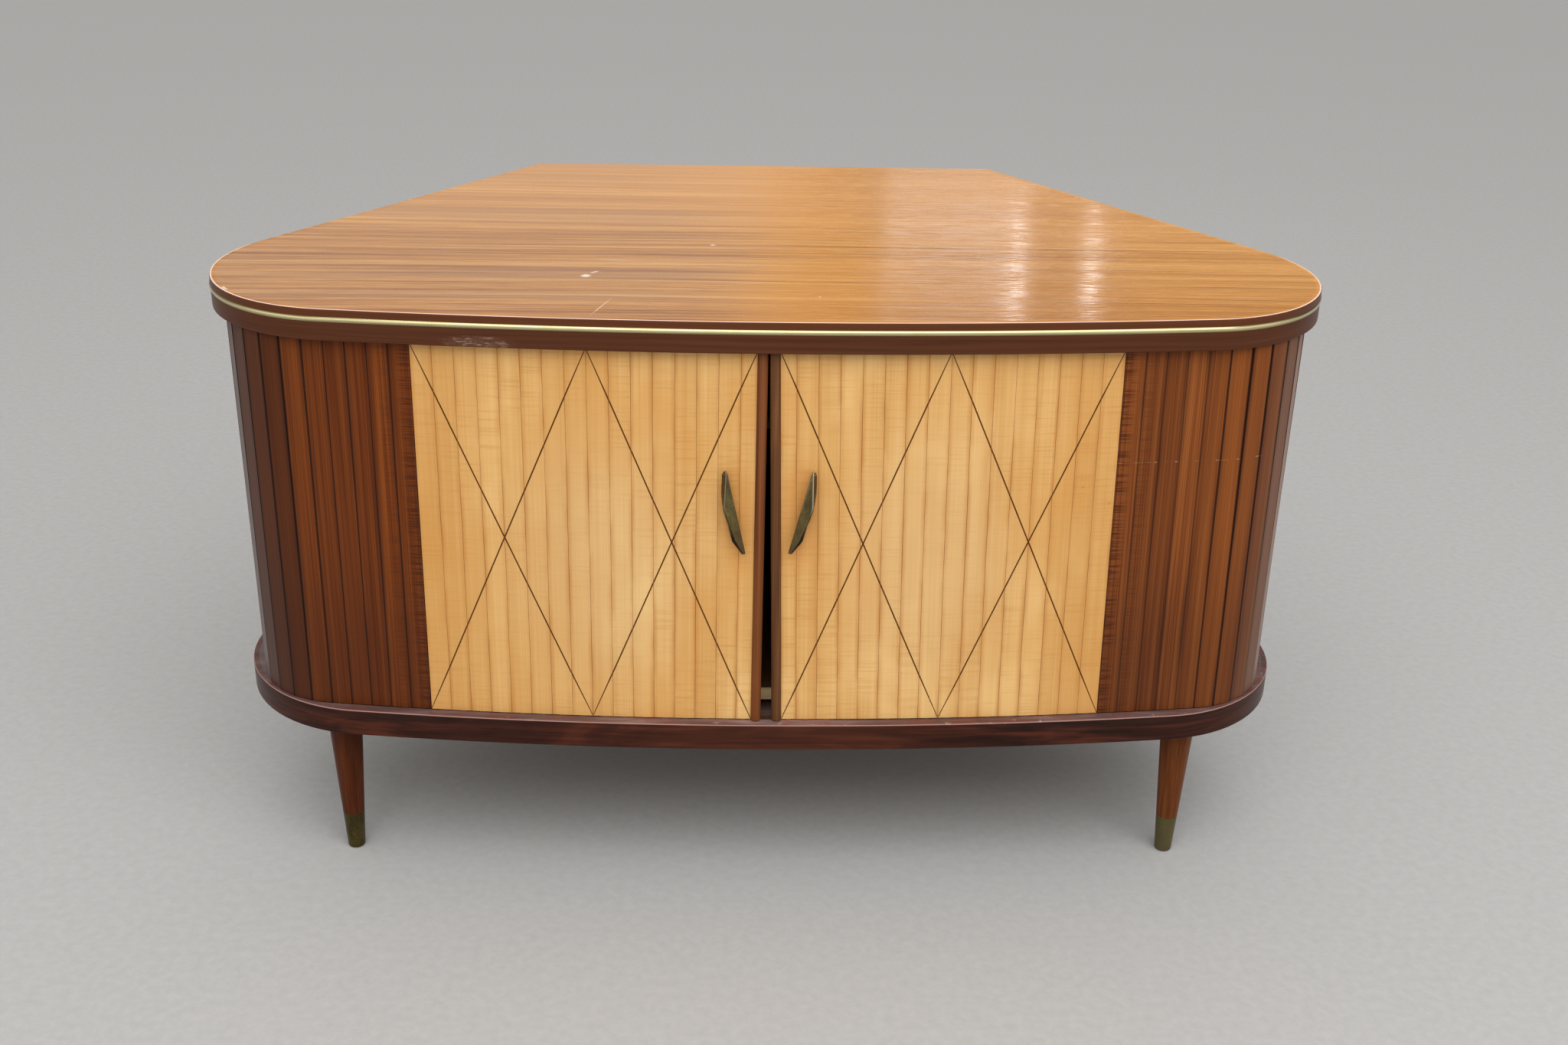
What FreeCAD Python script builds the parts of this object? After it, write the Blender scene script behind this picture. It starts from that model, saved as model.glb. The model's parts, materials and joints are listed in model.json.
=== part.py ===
import FreeCAD, Part
import math
import os

V = FreeCAD.Vector
os.makedirs("parts", exist_ok=True)

# Plan of the top and the base: bowed front, round front corners, slanting sides, short straight back
width = 1191.0
depth = 680.0
front_radius = 3787.0
corner_radius = 163.0
side_angle = 34.0

# Heights
leg_height = 176.0
base_thickness = 31.0
door_opening = 425.0
top_thickness = 33.0

# Edge of the top and the base
lipping_thickness = 6.0
lipping_round = 1.2
strip_height = 5.4
strip_from_top = 8.0
strip_depth = 2.4
strip_proud = 1.2

# Tambour doors: the line of the slats' outer face
door_front_inset = 12.5
door_side_inset = 23.5
door_corner_radius = 105.0
slat_pitch = 22.27
slat_gap = 0.95
slat_thickness = 8.0
slat_chamfer = 0.7
slat_end_gap = 1.0
first_slat = 8.0
light_slats = 16
lead_dark_slats = 1
entry_slats = 4
corner_slats = 5
exit_slats = 4
tail_slats = 1
right_door_lean = 7.6
left_door_lean = 3.0

# Tongues of the slats and the grooves that they run in
tongue_width = 6.0
tongue_thickness = 4.0
tongue_set_back = 5.4
tongue_length = 7.0
groove_side_play = 3.2
groove_end_play = 1.5
side_track_length = 420.0

# Meeting stiles
stile_width = 10.5
stile_inner_edge = 3.4
stile_proud = 1.2
stile_crown = 4.0

# Pulls
pull_slat = 1
pull_tip_height = 412.4
pull_reach = 13.0
pull_brim_reach = 9.4
pull_tip_from_slat = -20.4
pull_screw_radius = 2.0
pull_screw_head_radius = 4.0
pull_screw_head_height = 2.4
pull_screw_bite = 7.0
pull_screw_heights = (466.0, 480.0)
pull_screw_from_slat = 3.0
screw_clearance = 0.15
left_pull_turn = 2.3
left_pull_shift = 1.0

# Cloth behind the slats
canvas_thickness = 0.8
canvas_end_margin = 16.0

# Fixed walls
side_panel_gap = 8.0
side_panel_thickness = 18.0
back_panel_thickness = 12.0
back_panel_inset = 10.0
inner_wall_gap = 10.0
inner_wall_thickness = 12.0
inner_wall_front = 15.0

# Inner floor and shelf
floor_thickness = 15.0
floor_lift = 12.0
floor_front_gap = 16.0
floor_front_side_gap = 147.0
bearer_width = 40.0
bearer_half_spacing = 170.0
bearer_margin = 60.0
shelf_thickness = 15.0
shelf_height = 215.0
shelf_setback = 270.0
cleat_size = 18.0
cleat_margin = 30.0

# Legs
front_leg_side_inset = 122.5
front_leg_setback = 75.0
rear_leg_side_inset = 92.5
rear_leg_inset = 84.0
leg_top_radius = 19.0
leg_foot_radius = 9.6
ferrule_height = 47.5
ferrule_wall = 0.8
ferrule_floor = 3.0
ferrule_round = 2.5
plate_radius = 28.0
plate_thickness = 3.0
plate_screws = 3
plate_screw_circle = 23.2
plate_screw_radius = 2.0
plate_screw_head = 3.4
plate_screw_head_height = 1.6
plate_screw_length = 16.0
stud_radius = 4.0
stud_up = 22.0
stud_down = 26.0

# Derived heights
base_bottom = leg_height
base_top = base_bottom + base_thickness
top_under = base_top + door_opening
top_face = top_under + top_thickness
slat_low = base_top + slat_end_gap
slat_high = top_under - slat_end_gap
slat_mid = 0.5 * (slat_low + slat_high)
low_groove_depth = tongue_length - slat_end_gap
high_groove_depth = low_groove_depth + groove_end_play

# Derived plan
front_y = (strip_proud - depth) / 2.0
back_y = front_y + depth
arc_y = front_y + front_radius
end_turn = math.radians(90.0 + side_angle)
slant = math.radians(side_angle)


def save(shape, name):
    shape.exportStep("parts/" + name + ".step")


def mirrored(shape):
    return shape.mirror(V(0, 0, 0), V(1, 0, 0))


class Plan:
    """A bowed front arc running through a corner arc into a slanting side"""

    def __init__(self, half_width, front_r, corner_r):
        self.front_r = front_r
        self.corner_r = corner_r
        self.cx = half_width - corner_r
        self.turn = math.asin(self.cx / (front_r - corner_r))
        self.cy = arc_y - (front_r - corner_r) * math.cos(self.turn)

    def front(self, angle, inset=0.0):
        r = self.front_r - inset
        return V(r * math.sin(angle), arc_y - r * math.cos(angle), 0)

    def corner(self, angle, inset=0.0):
        r = self.corner_r - inset
        return V(self.cx + r * math.sin(angle), self.cy - r * math.cos(angle), 0)

    def side(self, run, inset=0.0):
        way = V(math.cos(end_turn), math.sin(end_turn), 0)
        return self.corner(end_turn, inset) + way * run

    def side_at_y(self, y, inset=0.0):
        start = self.corner(end_turn, inset)
        return self.side((y - start.y) / math.sin(end_turn), inset)


def flip(p):
    return V(-p.x, p.y, p.z)


def arc(a, b, c):
    return Part.Arc(a, b, c).toShape()


def line(a, b):
    return Part.makeLine(a, b)


def prism(edges, z, height):
    wire = Part.Wire(Part.__sortEdges__(edges))
    face = Part.Face(wire)
    face.translate(V(0, 0, z))
    return face.extrude(V(0, 0, height))


def polygon_prism(points, z, height):
    closed = list(points) + [points[0]]
    face = Part.Face(Part.makePolygon(closed))
    face.translate(V(0, 0, z))
    return face.extrude(V(0, 0, height))


cabinet = Plan(width / 2.0, front_radius, corner_radius)
doors = Plan(width / 2.0 - door_side_inset, front_radius - door_front_inset, door_corner_radius)


def half_path(plan, inset, end_point):
    a = plan.front(plan.turn, inset)
    m = plan.corner(0.5 * (plan.turn + end_turn), inset)
    b = plan.corner(end_turn, inset)
    return a, m, b, end_point


def path_edges(plan, inset, end_point):
    a, m, b, e = half_path(plan, inset, end_point)
    return [line(flip(e), flip(b)), arc(flip(b), flip(m), flip(a)),
            arc(flip(a), plan.front(0.0, inset), a), arc(a, m, b), line(b, e)]


def board(inset, back_inset, z, height):
    e = cabinet.side_at_y(back_y - back_inset, inset)
    edges = path_edges(cabinet, inset, e) + [line(e, flip(e))]
    return prism(edges, z, height)


def track(inset_out, inset_in, run, z, height):
    e = doors.side(run, inset_out)
    f = doors.side(run, inset_in)
    edges = path_edges(doors, inset_out, e) + path_edges(doors, inset_in, f)
    edges += [line(e, f), line(flip(e), flip(f))]
    return prism(edges, z, height)


def edge_band(inset_out, inset_in, z, height):
    outer = board(inset_out, 0.0, z, height)
    inner = board(inset_in, -1.0, z - 1.0, height + 2.0)
    return outer.cut(inner)


def outer_edges(solid, z, inset):
    reach = cabinet.front(0.0, inset).y
    wide = cabinet.corner(math.pi / 2.0, inset).x
    found = []
    for e in solid.Edges:
        box = e.BoundBox
        flat = abs(box.ZMin - z) < 1e-4 and abs(box.ZMax - z) < 1e-4
        on_front = abs(box.YMin - reach) < 1e-3
        on_corner = abs(max(box.XMax, -box.XMin) - wide) < 1e-3
        e_start = e.Vertexes[0].Point
        side_start = cabinet.corner(end_turn, inset)
        side_len = (e.Vertexes[-1].Point - e_start).Length
        on_side = e.Curve.TypeId == "Part::GeomLine" and side_len > width / 6.0
        on_side = on_side and min(abs(abs(v.Point.x) - side_start.x) for v in e.Vertexes) < 1e-3
        if flat and (on_front or on_corner or on_side):
            found.append(e)
    return found


# Top board, its lipping and the brass strip let into the lipping
groove_out = tongue_set_back - tongue_thickness / 2.0 - groove_side_play
groove_in = tongue_set_back + tongue_thickness / 2.0 + groove_side_play
top_board = board(lipping_thickness, 0.0, top_under, top_thickness)
top_board = top_board.cut(track(groove_out, groove_in, side_track_length, top_under, high_groove_depth))
save(top_board, "top_board")

strip_z = top_face - strip_from_top - strip_height
top_lipping = edge_band(0.0, lipping_thickness, top_under, top_thickness)
round_over = outer_edges(top_lipping, top_under, 0.0) + outer_edges(top_lipping, top_face, 0.0)
top_lipping = top_lipping.makeFillet(lipping_round, round_over)
top_lipping = top_lipping.cut(edge_band(-1.0, strip_depth, strip_z, strip_height))
save(top_lipping, "top_lipping")

strip = edge_band(-strip_proud, strip_depth, strip_z, strip_height)
strip_rim = outer_edges(strip, strip_z, -strip_proud) + outer_edges(strip, strip_z + strip_height, -strip_proud)
strip = strip.makeFillet(strip_proud, strip_rim)
save(strip, "brass_edge_strip")

# Leg places, front pair then rear pair
rear_leg_y = back_y - rear_leg_inset
rear_leg_x = cabinet.side_at_y(rear_leg_y).x - rear_leg_side_inset
leg_spots = {"front_right": V(width / 2.0 - front_leg_side_inset, front_y + front_leg_setback, 0),
             "rear_right": V(rear_leg_x, rear_leg_y, 0)}
leg_spots["front_left"] = flip(leg_spots["front_right"])
leg_spots["rear_left"] = flip(leg_spots["rear_right"])


def around(spot, k):
    turn = math.radians(90.0 + 360.0 * k / plate_screws)
    return spot + V(plate_screw_circle * math.cos(turn), plate_screw_circle * math.sin(turn), 0)


def rod(spot, radius, low, high):
    return Part.makeCylinder(radius, high - low, V(spot.x, spot.y, low), V(0, 0, 1))


# Base board and its lipping
plate_low = base_bottom - plate_thickness
base_board = board(lipping_thickness, 0.0, base_bottom, base_thickness)
low_groove = track(groove_out, groove_in, side_track_length, base_top - low_groove_depth, low_groove_depth)
base_board = base_board.cut(low_groove)
for spot in leg_spots.values():
    base_board = base_board.cut(rod(spot, stud_radius + screw_clearance, base_bottom, base_bottom + stud_up))
    for k in range(plate_screws):
        hole_radius = plate_screw_radius + screw_clearance
        hole = rod(around(spot, k), hole_radius, base_bottom, plate_low + plate_screw_length)
        base_board = base_board.cut(hole)
save(base_board, "base_board")

base_lipping = edge_band(0.0, lipping_thickness, base_bottom, base_thickness)
round_over = outer_edges(base_lipping, base_bottom, 0.0) + outer_edges(base_lipping, base_top, 0.0)
base_lipping = base_lipping.makeFillet(lipping_round, round_over)
save(base_lipping, "base_lipping")

# Legs: a turned taper on a plate, held by a stud, shod with a brass ferrule
leg_top = plate_low


def leg_radius(z):
    share = z / leg_top
    return leg_foot_radius + (leg_top_radius - leg_foot_radius) * share


plates = []
screws = []
studs = []
for place, spot in leg_spots.items():
    wood = [V(0, 0, ferrule_floor), V(leg_radius(ferrule_floor) - ferrule_wall, 0, ferrule_floor),
            V(leg_radius(ferrule_height) - ferrule_wall, 0, ferrule_height),
            V(leg_radius(ferrule_height), 0, ferrule_height), V(leg_top_radius, 0, leg_top), V(0, 0, leg_top)]
    leg = Part.Face(Part.makePolygon(wood + [wood[0]])).revolve(V(0, 0, 0), V(0, 0, 1), 360)
    leg.translate(spot)
    leg = leg.cut(rod(spot, stud_radius + screw_clearance, leg_top - stud_down, leg_top))
    save(leg, "leg_" + place)
    shell = [V(0, 0, 0), V(leg_foot_radius, 0, 0), V(leg_radius(ferrule_height), 0, ferrule_height),
             V(leg_radius(ferrule_height) - ferrule_wall, 0, ferrule_height),
             V(leg_radius(ferrule_floor) - ferrule_wall, 0, ferrule_floor), V(0, 0, ferrule_floor)]
    ferrule = Part.Face(Part.makePolygon(shell + [shell[0]])).revolve(V(0, 0, 0), V(0, 0, 1), 360)
    toe = [e for e in ferrule.Edges if e.BoundBox.ZMax < 1e-6 and e.BoundBox.XLength > leg_foot_radius]
    ferrule = ferrule.makeFillet(ferrule_round, toe)
    ferrule.translate(spot)
    save(ferrule, "ferrule_" + place)
    plate = rod(spot, plate_radius, plate_low, base_bottom)
    plate = plate.cut(rod(spot, stud_radius + screw_clearance, plate_low, base_bottom))
    for k in range(plate_screws):
        at = around(spot, k)
        plate = plate.cut(rod(at, plate_screw_radius + screw_clearance, plate_low, base_bottom))
        shank = rod(at, plate_screw_radius, plate_low, plate_low + plate_screw_length)
        screws.append(shank.fuse(rod(at, plate_screw_head, plate_low - plate_screw_head_height, plate_low)))
    plates.append(plate)
    studs.append(rod(spot, stud_radius, leg_top - stud_down, base_bottom + stud_up))
save(Part.makeCompound(plates), "leg_plates")
save(Part.makeCompound(screws), "leg_plate_screws")
save(Part.makeCompound(studs), "leg_studs")

# Fixed walls between the base and the top
panel_in = -side_panel_gap
panel_out = -side_panel_gap - side_panel_thickness
panel_end_y = back_y - back_panel_inset
side_panel = polygon_prism([doors.side(0.0, panel_out), doors.side_at_y(panel_end_y, panel_out),
                            doors.side_at_y(panel_end_y, panel_in), doors.side(0.0, panel_in)],
                           base_top, door_opening)
save(side_panel, "side_panel_right")
save(mirrored(side_panel), "side_panel_left")

back_front_y = panel_end_y - back_panel_thickness
b1 = doors.side_at_y(panel_end_y, panel_in)
b2 = doors.side_at_y(back_front_y, panel_in)
back_panel = polygon_prism([b1, flip(b1), flip(b2), b2], base_top, door_opening)
save(back_panel, "back_panel")

# Inner floor on bearers, inner walls that keep the bottles off the moving doors, and one shelf
floor_low = base_top + floor_lift
floor_high = floor_low + floor_thickness
wall_out = slat_thickness + inner_wall_gap
wall_in = wall_out + inner_wall_thickness
w1 = doors.side(-inner_wall_front, wall_out)
w2 = doors.side_at_y(back_front_y, wall_out)
w3 = doors.side_at_y(back_front_y, wall_in)
w4 = doors.side(-inner_wall_front, wall_in)
inner_wall = polygon_prism([w1, w2, w3, w4], base_top, door_opening)
save(inner_wall, "inner_wall_right")
save(mirrored(inner_wall), "inner_wall_left")

floor_inset = slat_thickness + floor_front_gap
floor_half_width = width / 2.0 - door_side_inset - floor_front_side_gap
floor_turn = math.asin(floor_half_width / (doors.front_r - floor_inset))
f1 = doors.front(floor_turn, floor_inset)
floor_edges = [arc(flip(f1), doors.front(0.0, floor_inset), f1), line(f1, w4), line(w4, w3),
               line(w3, flip(w3)), line(flip(w3), flip(w4)), line(flip(w4), flip(f1))]
inner_floor = prism(floor_edges, floor_low, floor_thickness)
save(inner_floor, "inner_floor")

bearer_front = doors.front(0.0, floor_inset).y + bearer_margin
bearer = Part.makeBox(bearer_width, back_front_y - bearer_front, floor_lift,
                      V(bearer_half_spacing - bearer_width / 2.0, bearer_front, base_top))
save(Part.makeCompound([bearer, mirrored(bearer)]), "floor_bearers")

shelf_low = floor_high + shelf_height
shelf_front_y = front_y + shelf_setback
s1 = doors.side_at_y(shelf_front_y, wall_in)
shelf = polygon_prism([s1, w3, flip(w3), flip(s1)], shelf_low, shelf_thickness)
save(shelf, "shelf")
c1 = doors.side_at_y(shelf_front_y + cleat_margin, wall_in)
c2 = doors.side_at_y(back_front_y - cleat_margin, wall_in)
c3 = doors.side_at_y(back_front_y - cleat_margin, wall_in + cleat_size)
c4 = doors.side_at_y(shelf_front_y + cleat_margin, wall_in + cleat_size)
cleat = polygon_prism([c1, c2, c3, c4], shelf_low - cleat_size, cleat_size)
save(cleat, "shelf_cleat_right")
save(mirrored(cleat), "shelf_cleat_left")

# Doors: slats stand on a line one slat thickness behind their outer face, where the cloth bends
line_front_r = doors.front_r - slat_thickness
line_corner_r = doors.corner_r - slat_thickness
corner_start = line_front_r * doors.turn
corner_end = corner_start + line_corner_r * (end_turn - doors.turn)


def pose(s):
    if s < corner_start:
        turn = s / line_front_r
        return doors.front(turn, slat_thickness), turn
    if s < corner_end:
        turn = doors.turn + (s - corner_start) / line_corner_r
        return doors.corner(turn, slat_thickness), turn
    return doors.side(s - corner_end, slat_thickness), end_turn


def stand(solid, s):
    point, turn = pose(s)
    spin = FreeCAD.Rotation(V(0, 0, 1), math.degrees(turn))
    solid.Placement = FreeCAD.Placement(point, spin).multiply(solid.Placement)
    return solid


def slat_place(index):
    return first_slat + slat_pitch * (index + 0.5)


half_slat = 0.5 * (slat_pitch - slat_gap)
slat_face = -slat_thickness
stile_outer_edge = stile_inner_edge + stile_width
lead_slats = light_slats + lead_dark_slats

# Pull: a faceted blade that stands on a narrow foot and runs down to a pointed leaf
# Points run from the top round the outer edge to the tip, across from the tip and up from it
pull_leaf = [(23.2, 90.4), (23.7, 92.3), (24.4, 92.4), (24.9, 90.6), (25.1, 67.6), (25.2, 53.5),
             (21.4, 40.5), (17.6, 31.0), (11.6, 16.5), (2.8, 1.8), (0.6, 2.6)]
pull_brim = [(23.0, 88.6), (23.8, 91.2), (25.0, 91.4), (26.2, 88.6), (26.3, 66.0), (26.0, 51.6),
             (22.4, 38.0), (19.8, 32.0), (15.1, 13.0), (4.0, -1.4), (0.0, -0.2)]
pull_foot = [(22.0, 82.0), (24.2, 88.2), (26.7, 89.4), (29.1, 85.8), (29.2, 64.6), (27.9, 54.4),
             (26.2, 44.1), (23.4, 37.5), (21.4, 32.0), (19.0, 31.0), (16.0, 36.0)]


def pull_wire(points, out):
    ring = [V(pull_tip_from_slat + px, slat_face - out, pull_tip_height + pz) for px, pz in points]
    return Part.makePolygon(ring + [ring[0]])


class Door:
    """A tambour door as the right-hand one, with its own lean and the set of its pull"""

    def __init__(self, lean, pull_turn, pull_shift):
        self.lean = lean
        self.lean_rate = lean / (slat_high - slat_low)
        self.pull_turn = pull_turn
        self.pull_shift = pull_shift

    def leaning(self, face, low, high):
        face.translate(V(-self.lean_rate * (low - slat_mid), 0, low))
        return face.extrude(V(-self.lean_rate * (high - low), 0, high - low))

    def tongue(self, at=0.0):
        half = tongue_width / 2.0
        back = tongue_set_back - slat_thickness + tongue_thickness / 2.0
        front = back - tongue_thickness
        corners = [V(at - half, front, 0), V(at + half, front, 0), V(at + half, back, 0), V(at - half, back, 0)]
        face = Part.Face(Part.makePolygon(corners + [corners[0]]))
        return self.leaning(face, slat_low - tongue_length, slat_high + tongue_length)

    def slat(self, index, left=-half_slat, right=half_slat):
        c = slat_chamfer
        corners = [V(left, 0, 0), V(left, slat_face + c, 0), V(left + c, slat_face, 0),
                   V(right - c, slat_face, 0), V(right, slat_face + c, 0), V(right, 0, 0)]
        face = Part.Face(Part.makePolygon(corners + [corners[0]]))
        solid = self.leaning(face, slat_low, slat_high).fuse(self.tongue(0.5 * (left + right)))
        return stand(solid.removeSplitter(), slat_place(index))

    def set_pull(self, solid):
        """Turns and shifts the pull, a screw or a hole as the pull was fixed, on its slat"""
        middle = sum(pull_screw_heights) / len(pull_screw_heights)
        solid.rotate(V(pull_screw_from_slat, 0, middle), V(0, 1, 0), -self.pull_turn)
        solid.translate(V(-self.pull_shift, 0, 0))
        return stand(solid, slat_place(pull_slat))

    def screws_and_holes(self):
        drop = canvas_thickness + screw_clearance
        reach = drop + slat_thickness + pull_screw_bite
        screws = []
        holes = []
        for z in pull_screw_heights:
            start = V(pull_screw_from_slat, drop, z)
            out = V(0, -1, 0)
            shank = Part.makeCylinder(pull_screw_radius, reach, start, out)
            head = Part.makeCylinder(pull_screw_head_radius, pull_screw_head_height, start, V(0, 1, 0))
            screws.append(self.set_pull(shank.fuse(head)))
            hole = Part.makeCylinder(pull_screw_radius + screw_clearance, reach, start, out)
            holes.append(self.set_pull(hole))
        return screws, holes

    def stile(self):
        """A round-fronted bar where the doors meet"""
        half = stile_width / 2.0
        shoulder = slat_face - stile_proud
        crown = shoulder - stile_crown
        edges = [line(V(-half, 0, 0), V(half, 0, 0)), line(V(half, 0, 0), V(half, shoulder, 0)),
                 arc(V(half, shoulder, 0), V(0, crown, 0), V(-half, shoulder, 0)),
                 line(V(-half, shoulder, 0), V(-half, 0, 0))]
        face = Part.Face(Part.Wire(Part.__sortEdges__(edges)))
        bar = self.leaning(face, slat_low, slat_high).fuse(self.tongue()).removeSplitter()
        return stand(bar, stile_inner_edge + half)

    def cloth(self):
        """Backing glued across the slats that stay on the front"""
        start = slat_place(0) / line_front_r
        end = (slat_place(lead_slats - 1) + half_slat - self.lean) / line_front_r
        middle = 0.5 * (start + end)
        near = slat_thickness
        far = slat_thickness + canvas_thickness
        edges = [arc(doors.front(start, near), doors.front(middle, near), doors.front(end, near)),
                 line(doors.front(end, near), doors.front(end, far)),
                 arc(doors.front(end, far), doors.front(middle, far), doors.front(start, far)),
                 line(doors.front(start, far), doors.front(start, near))]
        low = slat_low + canvas_end_margin
        return prism(edges, low, slat_high - canvas_end_margin - low)

    def pieces(self):
        screws, holes = self.screws_and_holes()
        sections = [pull_wire(pull_foot, 0.0), pull_wire(pull_brim, pull_brim_reach),
                    pull_wire(pull_leaf, pull_reach)]
        pull = self.set_pull(Part.makeLoft(sections, True, True))
        # The first light slat is cut narrow beside the stile
        light = [self.slat(0, stile_outer_edge + slat_gap - slat_place(0))]
        light += [self.slat(i) for i in range(1, light_slats)]
        cloth = self.cloth()
        for hole in holes:
            pull = pull.cut(hole)
            light[pull_slat] = light[pull_slat].cut(hole)
            cloth = cloth.cut(hole)
        made = {"stile": self.stile(), "pull": pull, "pull_screws": Part.makeCompound(screws),
                "light_slats": Part.makeCompound(light), "canvas": cloth}
        corner_first = lead_slats + entry_slats
        corner_last = corner_first + corner_slats
        for i in range(light_slats, corner_first):
            made["dark_slat_%02d" % (i + 1)] = self.slat(i)
        made["corner_slats"] = Part.makeCompound([self.slat(i) for i in range(corner_first, corner_last)])
        for i in range(corner_last, corner_last + exit_slats + tail_slats):
            made["dark_slat_%02d" % (i + 1)] = self.slat(i)
        return made


for name, shape in Door(right_door_lean, 0.0, 0.0).pieces().items():
    save(shape, "right_" + name)
for name, shape in Door(left_door_lean, left_pull_turn, left_pull_shift).pieces().items():
    save(mirrored(shape), "left_" + name)
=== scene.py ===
"""A corner bar cabinet: its finishes, tambour slats and small parts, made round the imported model."""

import contextlib
import json
import math

import bmesh
import bpy
from mathutils import Matrix, Vector

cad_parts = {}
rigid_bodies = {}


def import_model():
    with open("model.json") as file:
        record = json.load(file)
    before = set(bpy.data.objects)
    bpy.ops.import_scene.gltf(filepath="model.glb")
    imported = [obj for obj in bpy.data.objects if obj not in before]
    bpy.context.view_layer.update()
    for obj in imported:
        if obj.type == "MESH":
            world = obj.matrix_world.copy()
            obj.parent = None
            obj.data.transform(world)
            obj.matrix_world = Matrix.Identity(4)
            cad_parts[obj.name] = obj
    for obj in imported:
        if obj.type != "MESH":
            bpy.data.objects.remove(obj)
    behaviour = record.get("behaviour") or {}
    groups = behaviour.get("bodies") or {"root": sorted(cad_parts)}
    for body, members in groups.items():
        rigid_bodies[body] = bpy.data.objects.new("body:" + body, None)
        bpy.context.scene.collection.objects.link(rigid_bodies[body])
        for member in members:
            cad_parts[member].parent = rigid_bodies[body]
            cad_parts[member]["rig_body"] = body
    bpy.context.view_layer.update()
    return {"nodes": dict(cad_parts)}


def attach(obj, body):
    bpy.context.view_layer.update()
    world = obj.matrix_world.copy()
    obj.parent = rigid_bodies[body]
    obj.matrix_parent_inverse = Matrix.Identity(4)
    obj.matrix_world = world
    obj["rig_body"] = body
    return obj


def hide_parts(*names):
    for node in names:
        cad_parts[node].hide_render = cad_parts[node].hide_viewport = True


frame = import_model()

# Sizes in metres, as the solids have them
MM = 0.001
SIDES = {"right": 1.0, "left": -1.0}
TOP_FACE = 665 * MM
BASE_TOP = 207 * MM
BACK_Y = 340.6 * MM
INNER_FLOOR_TOP = 234 * MM

# The edge of the top in plan: the bow of the front, a round corner and a straight side
ARC_Y = 3447.6 * MM
EDGE_FRONT_R = 3787 * MM
EDGE_CORNER_R = 163 * MM
EDGE_CENTRE_X = 432.5 * MM
EDGE_FIRST_TURN = math.asin(EDGE_CENTRE_X / (EDGE_FRONT_R - EDGE_CORNER_R))
EDGE_CENTRE_Y = ARC_Y - (EDGE_FRONT_R - EDGE_CORNER_R) * math.cos(EDGE_FIRST_TURN)
END_TURN = math.radians(124)

# The line that the backs of the slats follow
LINE_FRONT_R = 3766.5 * MM
LINE_CORNER_R = 97 * MM
CORNER_CENTRE_X = 467 * MM
FIRST_TURN = math.asin(CORNER_CENTRE_X / (LINE_FRONT_R - LINE_CORNER_R))

# The slats: the joints that show are closer than the working joints of the track
SLAT_THICK = 8 * MM
SLAT_PITCH = 22.27 * MM
SLAT_JOINT = 0.12 * MM
SLAT_WIDTH = SLAT_PITCH - SLAT_JOINT
SLAT_ROUND = 0.18 * MM
TRACK_JOINT = 0.95 * MM
TRACK_WIDTH = SLAT_PITCH - TRACK_JOINT
FIRST_PLACE = 8 * MM
SLAT_LOW = 208 * MM
SLAT_HIGH = 631 * MM
DOOR_LEAN = {"right": 7.6 * MM, "left": 3.0 * MM}
STILE_OUTER = 13.9 * MM
TONGUE = (6 * MM, 4 * MM, 7 * MM)
TONGUE_BACK = -2.6 * MM
CORNER_FLARE = 0.052
DOOR_SEED = {"right": 11, "left": 42}

# Slats by their number from the stile, the first being 0
LIGHT_SLATS = 16
FRONT_DARK = range(16, 21)
CORNER_DARK = range(21, 25)
CORNER_LAST = 25
SIDE_DARK = range(26, 31)
RIPPLED = {16: 1.0, 17: 0.35}

INLAY_WIDTH = 1.5 * MM
INLAY_PROUD = 0.08 * MM
INLAY_THICK = 0.3 * MM
INLAY_SPAN = 8
INLAY_END_GAP = 0.3 * MM
INLAY_SLAT_WIDTH = SLAT_WIDTH - 1.2 * SLAT_ROUND

CLOTH_MARGIN = 16 * MM
CLOTH_R = LINE_FRONT_R - 0.4 * MM
CLOTH_THICK = 0.6 * MM
CLOTH_STEPS = (60, 12)
THREAD = 1.6 * MM

STRIP_HALF_HEIGHT = 2.7 * MM
STRIP_PROUD = 1.2 * MM
STRIP_DEPTH = 2.4 * MM
STRIP_LEVEL = TOP_FACE - 10.7 * MM
STRIP_STEPS = 420
STRIP_CROWN = 10
STRIP_SHARP = math.radians(40)

STILE_EASE = 0.4 * MM
PULL_GRAIN = 0.5 * MM
PULL_ROUNDS = 10
MERGE_REACH = 0.004 * MM
FLAT_TURN = math.radians(0.4)
SHARP_TURN = math.radians(32)

# Zones of the light wood, bleached, or stained round a pull and darkened there by its painted shadow: place
# from the middle, height, two reaches
PULL_STAIN_AND_SHADOW = (0.031, 0.452, 0.026, 0.085)
BLEACHED = (0.175, 0.40, 0.12, 0.20)

# Heights between which the face of a pull takes a painted shade towards its foot, and its painted ridge
# glint grows brighter
PULL_LOWER_SHADE = (0.462, 0.42)
PULL_GLINT = (0.455, 0.468)

# Marks of wear: the scuff and the chip of the top's edge, and the line of dots across the dark slats
SCUFF_PLACE = (-0.292, 0.0, 0.6365)
CHIP_PLACE = (-0.556, -0.2425, 0.664)
DOTTED_LEVEL = 506.8 * MM
DOTTED_RUN = (0.360, 0.530)

# The camera stands where the photograph was taken from; its turns are yaw, pitch and roll
CAMERA_PLACE = (-0.027475, -2.028117, 1.204993)
CAMERA_TURNS = (0.026056, 0.420563, 0.019632)
CAMERA_LENS = 41.0746
SENSOR_WIDTH = 36.0

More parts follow.
